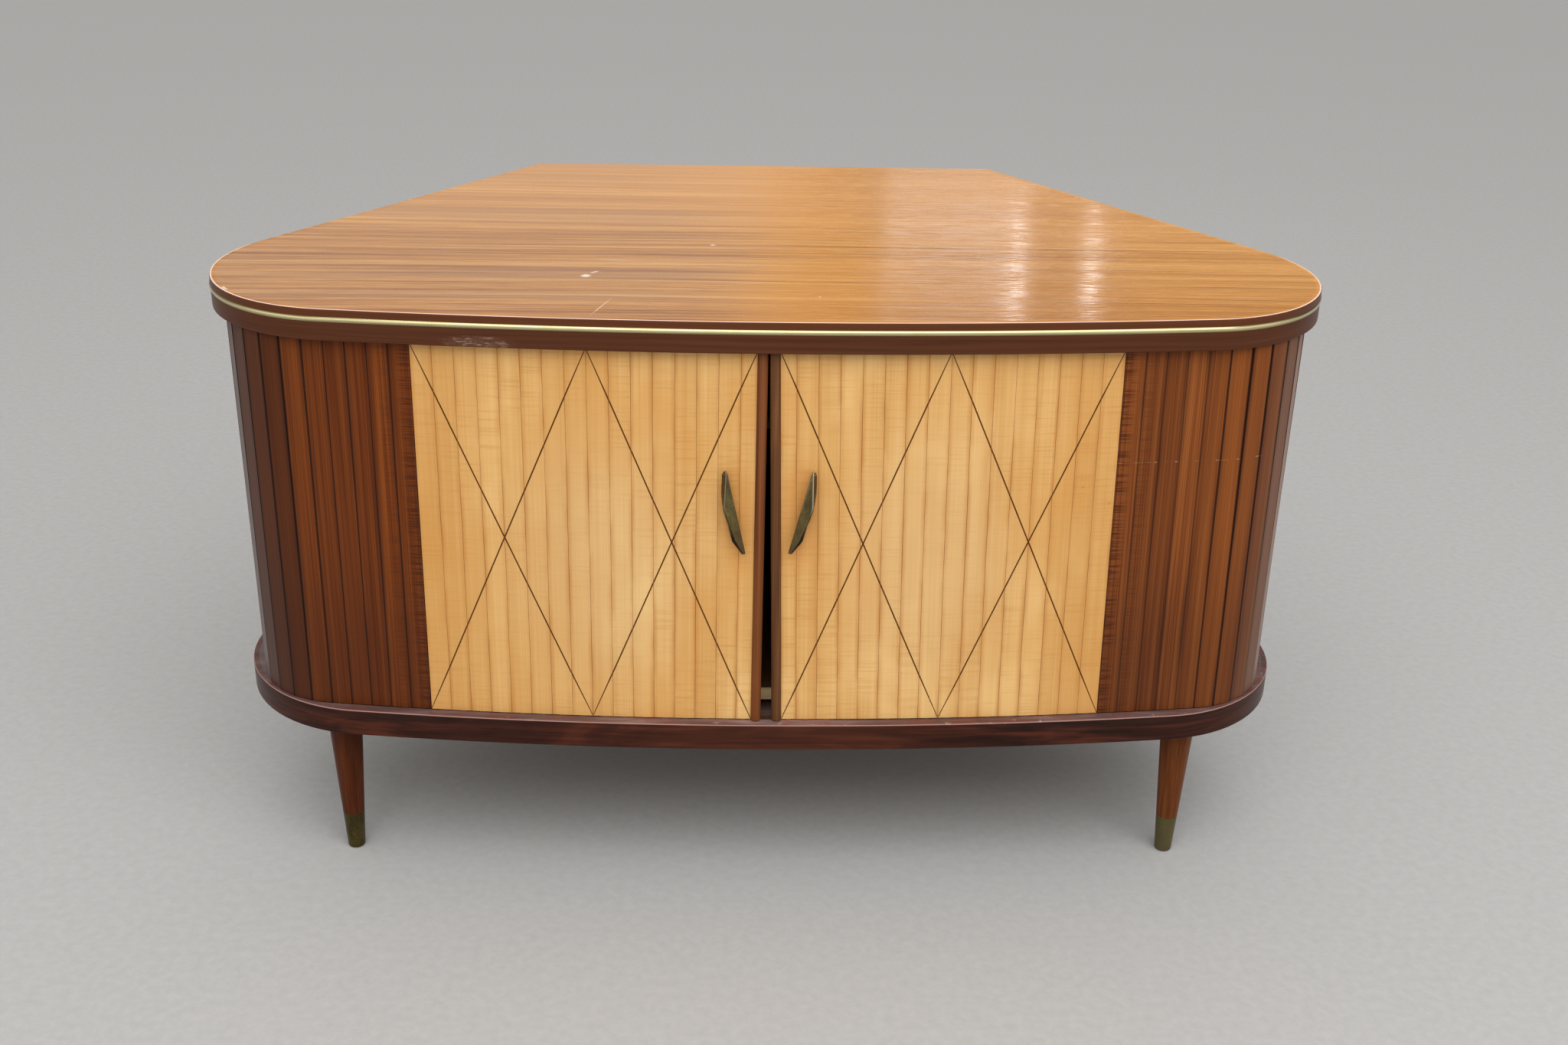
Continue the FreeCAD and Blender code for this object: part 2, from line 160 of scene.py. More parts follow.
LAMPS = (
    # name, place, aim, size, power in watts
    ("key", (0.45, -2.4, 3.3), (0.0, -0.1, 0.4), (4.4, 2.6), 102),
    ("gloss_broad", (0.58, 3.0, 1.50), (0.18, -0.08, TOP_FACE), (0.41, 0.4), 0.44),
    ("gloss_one", (0.765, 3.0, 1.625), (0.27, -0.2, TOP_FACE), (0.03, 0.16), 0.14),
    ("gloss_two", (0.982, 3.0, 1.585), (0.345, -0.16, TOP_FACE), (0.028, 0.21), 0.145),
)


def tint(red, green, blue):
    """A colour written as a screen shows it, from 0 to 255, for a shader's socket"""
    def straight(c):
        c /= 255
        return c / 12.92 if c <= 0.04045 else ((c + 0.055) / 1.055) ** 2.4
    return (straight(red), straight(green), straight(blue), 1.0)


class Wiring:
    """Adds nodes to a tree and joins them up"""

    def __init__(self, tree):
        self.tree = tree

    def add(self, kind, settings=None, **inputs):
        node = self.tree.nodes.new(kind)
        for name, value in (settings or {}).items():
            setattr(node, name, value)
        for name, value in inputs.items():
            self.put(node, name.replace("_", " "), value)
        return node

    def put(self, node, name, value):
        socket = next(s for s in node.inputs if s.name == name and s.enabled)
        self.join(value, socket)

    def join(self, value, socket):
        if isinstance(value, bpy.types.Node):
            value = next(s for s in value.outputs if s.enabled)
        if isinstance(value, bpy.types.NodeSocket):
            self.tree.links.new(value, socket)
        else:
            socket.default_value = value

    def calc(self, operation, *values):
        node = self.add("ShaderNodeMath", {"operation": operation})
        for socket, value in zip(node.inputs, values):
            self.join(value, socket)
        return node.outputs[0]

    def chain(self, operation, values):
        result = values[0]
        for value in values[1:]:
            result = self.calc(operation, result, value)
        return result

    def total(self, *values):
        return self.chain("ADD", values)

    def times(self, *values):
        return self.chain("MULTIPLY", values)

    def minus(self, *values):
        return self.chain("SUBTRACT", values)

    def over(self, *values):
        return self.chain("DIVIDE", values)

    def least(self, *values):
        return self.chain("MINIMUM", values)

    def most(self, *values):
        return self.chain("MAXIMUM", values)

    def point(self, x=0.0, y=0.0, z=0.0):
        return self.add("ShaderNodeCombineXYZ", X=x, Y=y, Z=z).outputs[0]

    def vector(self, operation, *values):
        node = self.add("ShaderNodeVectorMath", {"operation": operation})
        for socket, value in zip([s for s in node.inputs if s.enabled], values):
            self.join(value, socket)
        return next(s for s in node.outputs if s.enabled)

    def parts(self, vector):
        return self.add("ShaderNodeSeparateXYZ", Vector=vector).outputs

    def ease(self, value, start, end, low=0.0, high=1.0):
        """Goes smoothly from low to high while the value goes from start to end"""
        node = self.add("ShaderNodeMapRange", {"interpolation_type": "SMOOTHSTEP"}, Value=value)
        for name, number in (("From Min", start), ("From Max", end), ("To Min", low), ("To Max", high)):
            self.put(node, name, number)
        return node.outputs[0]


class Finish(Wiring):
    """A material being made up: everything ends in one shader"""

    def __init__(self, name, **shader_values):
        self.material = bpy.data.materials.new(name)
        self.material.use_nodes = True
        super().__init__(self.material.node_tree)
        self.tree.nodes.clear()
        self.shader = self.add("ShaderNodeBsdfPrincipled", None, **shader_values)
        end = self.add("ShaderNodeOutputMaterial")
        self.tree.links.new(self.shader.outputs[0], end.inputs["Surface"])
        self.here = self.add("ShaderNodeTexCoord").outputs["Object"]

    def stretch(self, scale, source=None, turn=(0, 0, 0)):
        return self.add("ShaderNodeMapping", None, Vector=source or self.here,
                        Rotation=turn, Scale=scale).outputs[0]

    def away(self, place, scale):
        """Distance from a place, stretched on each axis"""
        return self.vector("LENGTH", self.stretch(scale, self.vector("SUBTRACT", self.here, place)))

    def noise(self, scale, detail=3.0, rough=0.5, distort=0.0, source=None):
        node = self.add("ShaderNodeTexNoise", None, Vector=self.stretch(scale, source), Scale=1.0,
                        Detail=detail, Roughness=rough, Distortion=distort)
        return node.outputs["Fac"]

    def spots(self, where, reach):
        """Round spots scattered over a pattern, each 1 in the middle and 0 outside"""
        node = self.add("ShaderNodeTexVoronoi", None, Vector=where, Scale=1.0)
        return self.ease(node.outputs["Distance"], reach, 0.0), node.outputs["Color"]

    def ramp(self, value, *stops):
        node = self.add("ShaderNodeValToRGB", None, Fac=value)
        band = node.color_ramp.elements
        while len(band) < len(stops):
            band.new(0.5)
        for element, (place, colour) in zip(band, stops):
            element.position = place
            element.color = colour
        return node.outputs["Color"]

    def shades(self, value, spread, dark, middle, light):
        """Three tints of a wood, set evenly round the middle of its figure"""
        return self.ramp(value, (0.5 - spread, tint(*dark)), (0.5, tint(*middle)),
                         (0.5 + spread, tint(*light)))

    def blend(self, share, first, second):
        node = self.add("ShaderNodeMix", {"data_type": "RGBA"}, Factor=share, A=first, B=second)
        return next(s for s in node.outputs if s.enabled)

    def bump(self, height, depth):
        node = self.add("ShaderNodeBump", None, Height=height, Distance=depth, Strength=1.0)
        self.put(self.shader, "Normal", node.outputs[0])

    def read(self, name, output="Fac"):
        return self.add("ShaderNodeAttribute", {"attribute_name": name}).outputs[output]

    def done(self, colour, roughness):
        self.put(self.shader, "Base Color", colour)
        self.put(self.shader, "Roughness", roughness)
        return self.material

    def grained(self, colour, figure, smooth, rough):
        """Ends a finish whose roughness follows its figure"""
        return self.done(colour, self.ease(figure, 0.2, 0.8, smooth, rough))


# Finishes
def ribbon_stripe(f):
    """Veneer of the top: long streaks along the width, short fibres, a slow drift of colour, and painted
    reflection in bands across it
    """
    drift = f.noise((1.3, 4.0, 1.0), 2.0)
    lift = f.times(f.minus(drift, 0.5), 0.03)
    grain = f.vector("ADD", f.here, f.point(0.0, lift, 0.0))
    fibre = f.noise((26.0, 420.0, 1.0), 3.0, 0.6, source=grain)
    fine = f.noise((2.4, 290.0, 1.0), 3.0, 0.6, source=grain)
    middle = f.noise((1.2, 95.0, 1.0), 2.0, 0.55, source=grain)
    broad = f.noise((0.5, 26.0, 1.0), 2.0, 0.5, source=grain)
    figure = f.total(f.times(fibre, 0.16), f.times(fine, 0.30),
                     f.times(middle, 0.30), f.times(broad, 0.24))
    colour = f.ramp(figure, (0.37, tint(116, 68, 32)), (0.45, tint(154, 99, 52)),
                    (0.53, tint(186, 131, 74)), (0.62, tint(212, 162, 98)))
    across, deep, _ = f.parts(f.here)
    # Greyer streaks on the left and a golden right half: painted reflection, laid on a real drift of veneer
    # tone
    ashen_streaks_and_reflection = f.ease(f.noise((0.7, 19.0, 1.0), 2.0, source=grain), 0.48, 0.64, 0.0, 0.5)
    left = f.ease(f.total(across, f.times(drift, 0.3)), 0.2, 0.0)
    colour = f.blend(f.times(ashen_streaks_and_reflection, left), colour, tint(146, 104, 76))
    right_unreflected = f.minus(1.0, left)
    colour = f.blend(f.times(right_unreflected, 0.42), colour, tint(206, 140, 56))
    wandering = f.total(across, f.times(f.minus(drift, 0.5), 0.12))
    # An amber band, then a browner band: painted reflection, where the lacquer shows less and then more of
    # the room
    unreflected_band = f.times(f.ease(wandering, -0.06, 0.04), f.ease(wandering, 0.18, 0.06))
    colour = f.blend(f.times(unreflected_band, 0.32), colour, tint(212, 144, 56))
    reflected_haze_band = f.times(f.ease(wandering, 0.07, 0.2), f.ease(wandering, 0.44, 0.3))
    colour = f.blend(f.times(reflected_haze_band, 0.3), colour, tint(152, 100, 58))
    pale_line = f.ease(f.noise((1.0, 170.0, 3.0), 1.0, source=grain), 0.66, 0.72, 0.0, 0.5)
    colour = f.blend(pale_line, colour, tint(222, 170, 100))
    dark_line = f.ease(f.noise((1.6, 200.0, 7.0), 1.0, source=grain), 0.62, 0.72, 0.0, 0.6)
    colour = f.blend(dark_line, colour, tint(96, 56, 30))
    bright = f.ease(deep, -0.24, 0.3, 0.0, 0.48)
    return f.blend(bright, colour, tint(234, 170, 102)), fine


SCRATCHES = (
    # place on the top, length, width, turn in degrees, how pale
    ((-0.195, -0.184), 0.014, 0.013, 30, 1.0), ((-0.187, -0.170), 0.016, 0.005, 50, 0.8),
    ((-0.168, -0.122), 0.060, 0.0026, -8, 0.5), ((-0.171, -0.294), 0.080, 0.0020, 74, 0.6),
    ((-0.0626, -0.0558), 0.009, 0.008, 60, 0.7),
    ((0.0514, -0.2514), 0.004, 0.004, 0, 0.7), ((0.2504, -0.1107), 0.0035, 0.0035, 0, 0.7),
    ((0.2325, 0.146), 0.004, 0.004, 0, 0.6), ((-0.020, -0.205), 0.070, 0.0012, 12, 0.3),
    ((-0.090, 0.060), 0.030, 0.0014, 25, 0.3),
)


def scuffed(f, colour):
    """Pale chips and scratches in the lacquer of the top"""
    ragged = f.noise((260.0, 260.0, 1.0), 3.0, 0.65)
    worn = None
    for (x, y), length, width, turn, pale in SCRATCHES:
        away = f.vector("SUBTRACT", f.here, (x, y, TOP_FACE))
        turned = f.stretch((1, 1, 1), away, (0, 0, math.radians(-turn)))
        mark = f.stretch((2 / length, 2 / width, 0.0), turned)
        reach = f.total(f.vector("LENGTH", mark), f.times(ragged, 0.9))
        share = f.ease(reach, 1.5, 0.7, 0.0, pale)
        worn = share if worn is None else f.most(worn, share)
    return f.blend(worn, colour, tint(226, 208, 196)), worn


def top_veneer():
    f = Finish("top_veneer", Specular_IOR_Level=0.5)
    colour, fine = ribbon_stripe(f)
    colour, worn = scuffed(f, colour)
    core = f.noise((7.0, 7.0, 240.0), 3.0, 0.6)
    core = f.shades(core, 0.2, (116, 84, 54), (138, 104, 68), (158, 124, 86))
    colour = f.blend(f.ease(f.parts(f.here)[2], TOP_FACE - 0.9 * MM, TOP_FACE - 0.6 * MM), core, colour)
    haze = f.noise((5.0, 14.0, 1.0), 3.0)
    pores = f.ease(f.noise((34.0, 480.0, 1.0), 2.0, 0.6), 0.46, 0.6, 0.0, 0.22)
    rough = f.total(f.ease(haze, 0.3, 0.75, 0.09, 0.15), f.times(worn, 0.3), pores)
    wave = f.noise((16.0, 46.0, 1.0), 2.0)
    f.bump(f.total(fine, f.times(wave, 2.6), f.times(worn, -0.8)), 0.12 * MM)
    return f.done(colour, rough)


def edge_figure(f, along, across):
    """Solid wood seen on its long edge: streaks that run round the cabinet"""
    wander = f.noise((along * 0.6, along * 0.6, across * 0.12), 2.0)
    bend = f.times(f.minus(wander, 0.5), 0.02)
    grain = f.vector("ADD", f.here, f.point(0.0, 0.0, bend))
    return f.noise((along, along, across), 4.0, 0.6, source=grain)


def edge_inset(f):
    """How far a point of the top lies inside its edge, on the front and round the corners"""
    across, deep, _ = f.parts(f.here)
    out = f.calc("ABSOLUTE", across)
    on_front = f.minus(EDGE_FRONT_R, f.vector("LENGTH", f.point(across, f.minus(ARC_Y, deep), 0.0)))
    from_corner = f.point(f.minus(out, EDGE_CENTRE_X), f.minus(deep, EDGE_CENTRE_Y), 0.0)
    on_corner = f.minus(EDGE_CORNER_R, f.vector("LENGTH", from_corner))
    return f.add("ShaderNodeMix", {"data_type": "FLOAT"}, Factor=f.ease(out, 0.44, 0.46),
                 A=on_front, B=on_corner)


def top_edge_wood():
    f = Finish("top_edge_wood", Specular_IOR_Level=0.12)
    figure = edge_figure(f, 4.0, 300.0)
    wood = f.shades(figure, 0.2, (72, 38, 21), (80, 44, 26), (88, 50, 30))
    _, deep, height = f.parts(f.here)
    upper = f.ease(height, STRIP_LEVEL - 6.3 * MM, STRIP_LEVEL - 0.3 * MM)
    wood = f.blend(f.times(upper, 0.5), wood, tint(96, 54, 30))
    flecks = f.noise((120.0, 120.0, 520.0), 4.0, 0.7)
    scuff = f.ease(f.away(SCUFF_PLACE, (26.0, 0.0, 120.0)), 1.1, 0.5)
    scuff = f.times(scuff, f.ease(flecks, 0.5, 0.64, 0.04, 0.36), f.ease(deep, -0.20, -0.25))
    wood = f.blend(scuff, wood, tint(196, 168, 148))
    veneer, _ = ribbon_stripe(f)
    chip = f.away(CHIP_PLACE, (120.0, 120.0, 200.0))
    ragged = f.noise((300.0, 300.0, 300.0), 3.0, 0.6)
    chipped = f.ease(f.total(chip, ragged), 1.5, 1.2, 0.0, 0.85)
    # A pale rim along the front edge of the top: a painted highlight of the arris, with some wear
    rim = f.ease(edge_inset(f), 3.0 * MM, 1.2 * MM, 0.0, 0.9)
    rim = f.times(rim, f.ease(deep, EDGE_CENTRE_Y + 85 * MM, EDGE_CENTRE_Y + 60 * MM))
    face = f.ease(height, TOP_FACE - 0.22 * MM, TOP_FACE - 0.12 * MM)
    colour = f.blend(face, wood, f.blend(rim, veneer, tint(242, 212, 200)))
    colour = f.blend(chipped, colour, tint(224, 200, 176))
    f.bump(figure, 0.03 * MM)
    return f.grained(colour, figure, 0.3, 0.42)


def base_edge_wood():
    f = Finish("base_edge_wood", Specular_IOR_Level=0.12)
    figure = edge_figure(f, 7.0, 260.0)
    flame = f.noise((7.0, 7.0, 42.0), 3.0, 0.55, 1.2)
    mixed = f.total(f.times(figure, 0.4), f.times(flame, 0.6))
    wood = f.shades(mixed, 0.12, (38, 18, 12), (57, 27, 18), (84, 41, 26))
    across, _, height = f.parts(f.here)
    out = f.calc("ABSOLUTE", across)
    wood = f.blend(f.ease(out, 0.26, 0.06, 0.0, 0.25), wood, tint(90, 48, 30))
    # Darker towards the slanted sides, more in the upper part of the edge
    darker_to_sides = f.times(f.ease(out, 0.12, 0.36),
                        f.ease(height, BASE_TOP - 13 * MM, BASE_TOP - 8 * MM, 0.2, 0.52))
    wood = f.blend(darker_to_sides, wood, tint(32, 20, 18))
    chips = f.ease(f.noise((55.0, 55.0, 55.0), 4.0, 0.7), 0.60, 0.74)
    arris = f.times(f.ease(height, BASE_TOP - 1.5 * MM, BASE_TOP - 0.6 * MM),
                    f.ease(height, BASE_TOP, BASE_TOP - 0.5 * MM))
    ledge = f.ease(height, BASE_TOP - 0.5 * MM, BASE_TOP - 0.1 * MM)
    colour = f.blend(ledge, wood, ledge_colour(f))
    # A painted highlight along the arris of the base
    colour = f.blend(f.times(arris, 0.75), colour, tint(186, 142, 130))
    chipped = f.times(f.most(arris, ledge), f.times(chips, 0.6))
    colour = f.blend(chipped, colour, tint(206, 170, 150))
    f.bump(mixed, 0.06 * MM)
    return f.grained(colour, figure, 0.26, 0.4)


def ledge_colour(f):
    """The base in front of the slats: rubbed, worn to red in places and darker to the sides"""
    figure = f.noise((9.0, 60.0, 1.0), 4.0, 0.6)
    colour = f.shades(figure, 0.2, (80, 57, 54), (106, 80, 76), (138, 110, 104))
    worn = f.noise((38.0, 38.0, 1.0), 4.0, 0.65)
    colour = f.blend(f.ease(worn, 0.5, 0.62, 0.0, 0.55), colour, tint(116, 64, 50))
    out = f.calc("ABSOLUTE", f.parts(f.here)[0])
    return f.blend(f.ease(out, 0.1, 0.36, 0.0, 0.34), colour, tint(64, 44, 46))


def base_wood():
    f = Finish("base_wood", Coat_Weight=0.15, Coat_Roughness=0.25)
    height = f.parts(f.here)[2]
    board = f.noise((3.0, 90.0, 1.0), 4.0, 0.6)
    under = f.shades(board, 0.2, (84, 58, 38), (104, 76, 50), (122, 92, 64))
    colour = f.blend(f.ease(height, BASE_TOP - 1.0 * MM, BASE_TOP - 0.4 * MM), under, ledge_colour(f))
    f.bump(board, 0.1 * MM)
    return f.grained(colour, board, 0.4, 0.6)


def brass(name, bright, dull, share, rough, cloudy=1.0, ridge_glint=None, grime_and_shade=None, lit_right=None):
    """Brass with a skin of tarnish; it can have grime with painted shade and reflection along a strip,
    painted light on its right-hand side, or a painted glint on the ridges of a pull with painted shade on
    its face and flanks
    """
    f = Finish(name, Metallic=1.0)
    cloud = f.noise((38.0, 38.0, 26.0), 4.0, 0.6)
    fleck = f.noise((420.0, 420.0, 420.0), 3.0, 0.6)
    tarnish = f.ease(f.total(cloud, f.times(fleck, 0.35)), share - 0.2, share + 0.25, 0.0, cloudy)
    f.bump(fleck, 0.03 * MM * cloudy)
    rougher = f.ease(f.total(cloud, fleck), 0.7, 1.4, rough, rough + 0.16 * cloudy)
    colour = f.blend(tarnish, bright, dull)
    across, _, height = f.parts(f.here)
    # Lighter on the right-hand side: painted light from the right
    if lit_right:
        colour = f.blend(f.ease(across, -0.1, 0.1, 0.0, 0.6), colour, lit_right)
    if grime_and_shade:
        # Painted shade along the top of the strip and a painted darker reflection on its lower part, with
        # some grime
        upper = f.ease(height, STRIP_LEVEL + 1.1 * MM, STRIP_LEVEL + 2.2 * MM, 0.0, 0.8)
        lower = f.ease(height, STRIP_LEVEL + 0.5 * MM, STRIP_LEVEL - 1.2 * MM, 0.0, 0.62)
        colour = f.blend(f.most(upper, lower), colour, grime_and_shade)
    if ridge_glint:
        # Painted shade on the lower face and the outer flank of the pull
        colour = f.blend(f.ease(height, *PULL_LOWER_SHADE, 0.0, 0.55), colour, tint(92, 72, 54))
        colour = f.blend(f.times(f.read("flank"), 0.9), colour, tint(30, 25, 18))
        # A painted glint on the upper outer ridge, fainter on the left pull
        glint = f.times(f.read("ridge"), f.ease(height, *PULL_GLINT, 0.1, 0.95))
        glint = f.times(glint, f.ease(across, -1 * MM, 1 * MM, 0.5, 1.0))
        colour = f.blend(glint, colour, ridge_glint)
        f.put(f.shader, "Metallic", f.minus(1.0, f.times(glint, 0.8)))
    return f.done(colour, rougher)


def plain_steel():
    f = Finish("plain_steel", Metallic=1.0)
    cloud = f.noise((120.0, 120.0, 120.0), 3.0)
    colour = f.ramp(cloud, (0.3, tint(150, 148, 142)), (0.7, tint(190, 188, 182)))
    return f.done(colour, f.ease(cloud, 0.3, 0.7, 0.3, 0.45))


def upright_figure(f, where, fine, broad, run, share=0.5):
    """Grain that stands upright: streaks of two widths"""
    thin = f.noise((fine, fine, run), 3.0, 0.6, source=where)
    wide = f.noise((broad, broad, run * 0.5), 2.0, 0.5, source=where)
    return f.total(f.times(thin, 1 - share), f.times(wide, share)), thin


def leg_wood():
    f = Finish("leg_wood", Specular_IOR_Level=0.1)
    figure, thin = upright_figure(f, None, 520.0, 130.0, 5.0)
    colour = f.shades(figure, 0.16, (60, 26, 9), (73, 33, 12), (87, 42, 16))
    # Lighter tints on the right-hand legs: painted light from the right
    right_lit_leg_tints = f.shades(figure, 0.16, (84, 42, 17), (100, 53, 23), (116, 66, 31))
    colour = f.blend(f.ease(f.parts(f.here)[0], -0.1, 0.1), colour, right_lit_leg_tints)
    f.bump(thin, 0.04 * MM)
    return f.grained(colour, thin, 0.28, 0.42)


def stile_wood():
    f = Finish("stile_wood", Specular_IOR_Level=0.14)
    figure, thin = upright_figure(f, None, 620.0, 160.0, 5.0)
    across, _, height = f.parts(f.here)
    ruddy = f.shades(figure, 0.16, (86, 46, 22), (112, 63, 34), (132, 79, 43))
    brown = f.shades(figure, 0.16, (74, 44, 24), (98, 62, 36), (116, 78, 48))
    colour = f.blend(f.ease(across, -0.5 * MM, 0.5 * MM), ruddy, brown)
    handling_and_highlight = f.noise((60.0, 60.0, 9.0), 3.0)
    # A painted orange highlight on the lower part of the left stile
    lower = f.times(f.ease(height, 0.5, 0.32), f.ease(across, 0.5 * MM, -0.5 * MM, 0.0, 0.5))
    colour = f.blend(f.times(lower, f.ease(handling_and_highlight, 0.3, 0.7, 0.4, 1.0)), colour, tint(132, 74, 32))
    colour = f.blend(f.ease(handling_and_highlight, 0.52, 0.8, 0.0, 0.35), colour, tint(146, 92, 54))
    f.bump(thin, 0.04 * MM)
    return f.grained(colour, thin, 0.32, 0.46)


def slat_grain(f):
    """Grain of one slat, shifted from slat to slat by its own number"""
    tone = f.read("tone")
    shift = f.point(f.times(tone, 9.0), f.times(tone, 3.0), f.times(tone, 0.4))
    return f.vector("ADD", f.read("grain", "Vector"), shift), tone


def light_wood():
    f = Finish("light_wood", Specular_IOR_Level=0.2)
    where, tone = slat_grain(f)
    figure, thin = upright_figure(f, where, 700.0, 90.0, 3.0)
    colour = f.shades(figure, 0.2, (204, 154, 90), (217, 169, 104), (227, 183, 120))
    colour = f.blend(f.ease(tone, 0.0, 1.0, 0.0, 0.15), colour, tint(200, 146, 80))
    cloud = f.noise((9.0, 1.0, 6.0), 3.0, 0.55)
    colour = f.blend(f.ease(cloud, 0.47, 0.68, 0.0, 0.5), colour, tint(206, 146, 74))
    colour = f.blend(f.ease(cloud, 0.5, 0.32, 0.0, 0.5), colour, tint(236, 196, 132))
    ripple = f.noise((14.0, 14.0, 420.0), 2.0, 0.5, 0.3, source=where)
    patch = f.ease(f.noise((16.0, 16.0, 9.0), 2.0, source=where), 0.35, 0.65, 0.06, 0.32)
    colour = f.blend(f.times(f.ease(ripple, 0.48, 0.68), patch), colour, tint(184, 128, 66))
    across, _, height = f.parts(f.here)
    away = f.calc("ABSOLUTE", across)
    colour = f.blend(f.ease(away, 0.25, 0.34, 0.0, 0.38), colour, tint(196, 136, 66))
    # The zone round a pull holds a finger stain and the painted shadow of the pull
    for (middle, level, wide, high), share, shade in ((BLEACHED, 0.34, tint(222, 190, 140)),
                                                      (PULL_STAIN_AND_SHADOW, 0.45, tint(204, 130, 52))):
        offset = f.point(f.minus(away, middle), 0.0, f.minus(height, level))
        reach = f.vector("LENGTH", f.stretch((1 / wide, 1.0, 1 / high), offset))
        colour = f.blend(f.ease(reach, 1.1, 0.2, 0.0, share), colour, shade)
    edge = f.calc("ABSOLUTE", f.read("across"))
    stain = f.noise((40.0, 40.0, 10.0), 3.0, 0.6, source=where)
    shade = f.times(f.ease(edge, 0.5, 1.0), f.ease(stain, 0.36, 0.68, 0.1, 0.62))
    colour = f.blend(shade, colour, tint(184, 120, 56))
    line = f.times(f.ease(edge, 0.95, 0.99), f.ease(stain, 0.35, 0.7, 0.1, 0.6))
    colour = f.blend(line, colour, tint(150, 98, 48))
    dots, which = f.spots(f.stretch((34.0, 34.0, 22.0), where), 0.045)
    chosen = f.ease(f.parts(which)[0], 0.7, 0.74)
    colour = f.blend(f.times(dots, chosen, 0.75), colour, tint(120, 76, 36))
    f.bump(thin, 0.03 * MM)
    return f.grained(colour, thin, 0.36, 0.5)


def dark_wood():
    f = Finish("dark_wood", Specular_IOR_Level=0.1, Sheen_Weight=0.2, Sheen_Roughness=0.3)
    where, tone = slat_grain(f)
    figure, thin = upright_figure(f, where, 1100.0, 210.0, 3.0, 0.4)
    colour = f.ramp(figure, (0.36, tint(90, 40, 13)), (0.5, tint(115, 57, 20)), (0.66, tint(139, 75, 31)))
    # Lighter tints for the right-hand dark slats: painted light from the right
    right_lit_slat_tints = f.ramp(figure, (0.36, tint(92, 44, 17)), (0.5, tint(127, 69, 31)), (0.66, tint(152, 90, 43)))
    place, _, height = f.parts(f.here)
    colour = f.blend(f.ease(place, 0.3, 0.4), colour, right_lit_slat_tints)
    rippled = f.read("ripple")
    darker = f.times(f.ease(tone, 0.0, 1.0, 0.0, 0.55), f.ease(rippled, 0.0, 1.0, 1.0, 0.3))
    colour = f.blend(darker, colour, tint(70, 32, 15))
    # A painted patch of sunlight on the right-hand dark slats
    sunny = f.times(f.ease(place, 0.455, 0.485), f.ease(place, 0.527, 0.507, 0.0, 0.28))
    colour = f.blend(sunny, colour, tint(164, 92, 38))
    # Darker towards the bottom of the slats
    colour = f.blend(f.ease(height, 0.44, 0.26, 0.0, 0.34), colour, tint(58, 28, 17))
    across = f.read("across")
    edge = f.calc("ABSOLUTE", across)
    smoke = f.noise((60.0, 60.0, 5.0), 2.0, source=where)
    shade = f.times(f.ease(edge, 0.45, 1.0), f.ease(smoke, 0.4, 0.65, 0.05, 0.6))
    colour = f.blend(shade, colour, tint(58, 28, 18))
    ripple = f.noise((22.0, 22.0, 560.0), 2.0, 0.5, 0.3, source=where)
    combed = f.times(rippled, f.ease(across, 0.7, -0.6, 0.0, 0.7))
    colour = f.blend(f.times(f.ease(ripple, 0.45, 0.6), combed), colour, tint(62, 28, 14))
    open_joint = f.most(f.ease(place, 0.3, -0.3, 0.5, 0.85), f.ease(place, 0.44, 0.48, 0.0, 0.85))
    colour = f.blend(f.times(f.ease(edge, 0.91, 0.97), open_joint), colour, tint(38, 17, 10))
    # A painted grey sheen on the right-hand corner slats
    colour = f.blend(f.ease(place, 0.515, 0.555, 0.0, 0.4), colour, tint(126, 90, 66))
    # Painted shade on the left-hand corner slats
    colour = f.blend(f.ease(place, -0.45, -0.56, 0.0, 0.55), colour, tint(54, 32, 21))
    line = f.ease(f.calc("ABSOLUTE", f.minus(height, DOTTED_LEVEL)), 0.7 * MM, 0.2 * MM)
    first, last = DOTTED_RUN
    run = f.times(f.ease(place, first, first + 5 * MM), f.ease(place, last, last - 5 * MM))
    crest = f.ease(f.calc("ABSOLUTE", f.minus(across, 0.72)), 0.2, 0.06)
    faint = f.ease(f.noise((150.0, 150.0, 60.0), 3.0, 0.7), 0.5, 0.64, 0.0, 0.16)
    broken = f.most(faint, f.times(crest, f.ease(tone, 0.2, 0.8, 0.12, 0.5)))
    colour = f.blend(f.times(line, run, broken), colour, tint(206, 176, 146))
    f.bump(thin, 0.05 * MM)
    return f.grained(colour, thin, 0.3, 0.44)


def inlay_wood():
    f = Finish("inlay_wood", Specular_IOR_Level=0.1)
    figure = f.noise((300.0, 300.0, 40.0), 3.0)
    colour = f.ramp(figure, (0.3, tint(74, 40, 5)), (0.7, tint(100, 58, 12)))
    return f.grained(colour, figure, 0.45, 0.6)


def side_veneer():
    f = Finish("side_veneer", Coat_Weight=0.2, Coat_Roughness=0.25)
    figure, thin = upright_figure(f, None, 480.0, 60.0, 2.0)
    colour = f.shades(figure, 0.16, (76, 40, 24), (106, 60, 36), (134, 82, 52))
    f.bump(thin, 0.05 * MM)
    return f.grained(colour, thin, 0.34, 0.48)


def back_board():
    f = Finish("back_board")
    fibre = f.noise((320.0, 40.0, 220.0), 4.0, 0.65)
    cloud = f.noise((5.0, 5.0, 7.0), 3.0)
    colour = f.shades(fibre, 0.2, (112, 78, 50), (136, 98, 64), (154, 116, 80))
    colour = f.blend(f.ease(cloud, 0.4, 0.7, 0.0, 0.3), colour, tint(104, 72, 46))
    f.bump(fibre, 0.12 * MM)
    return f.grained(colour, fibre, 0.6, 0.78)


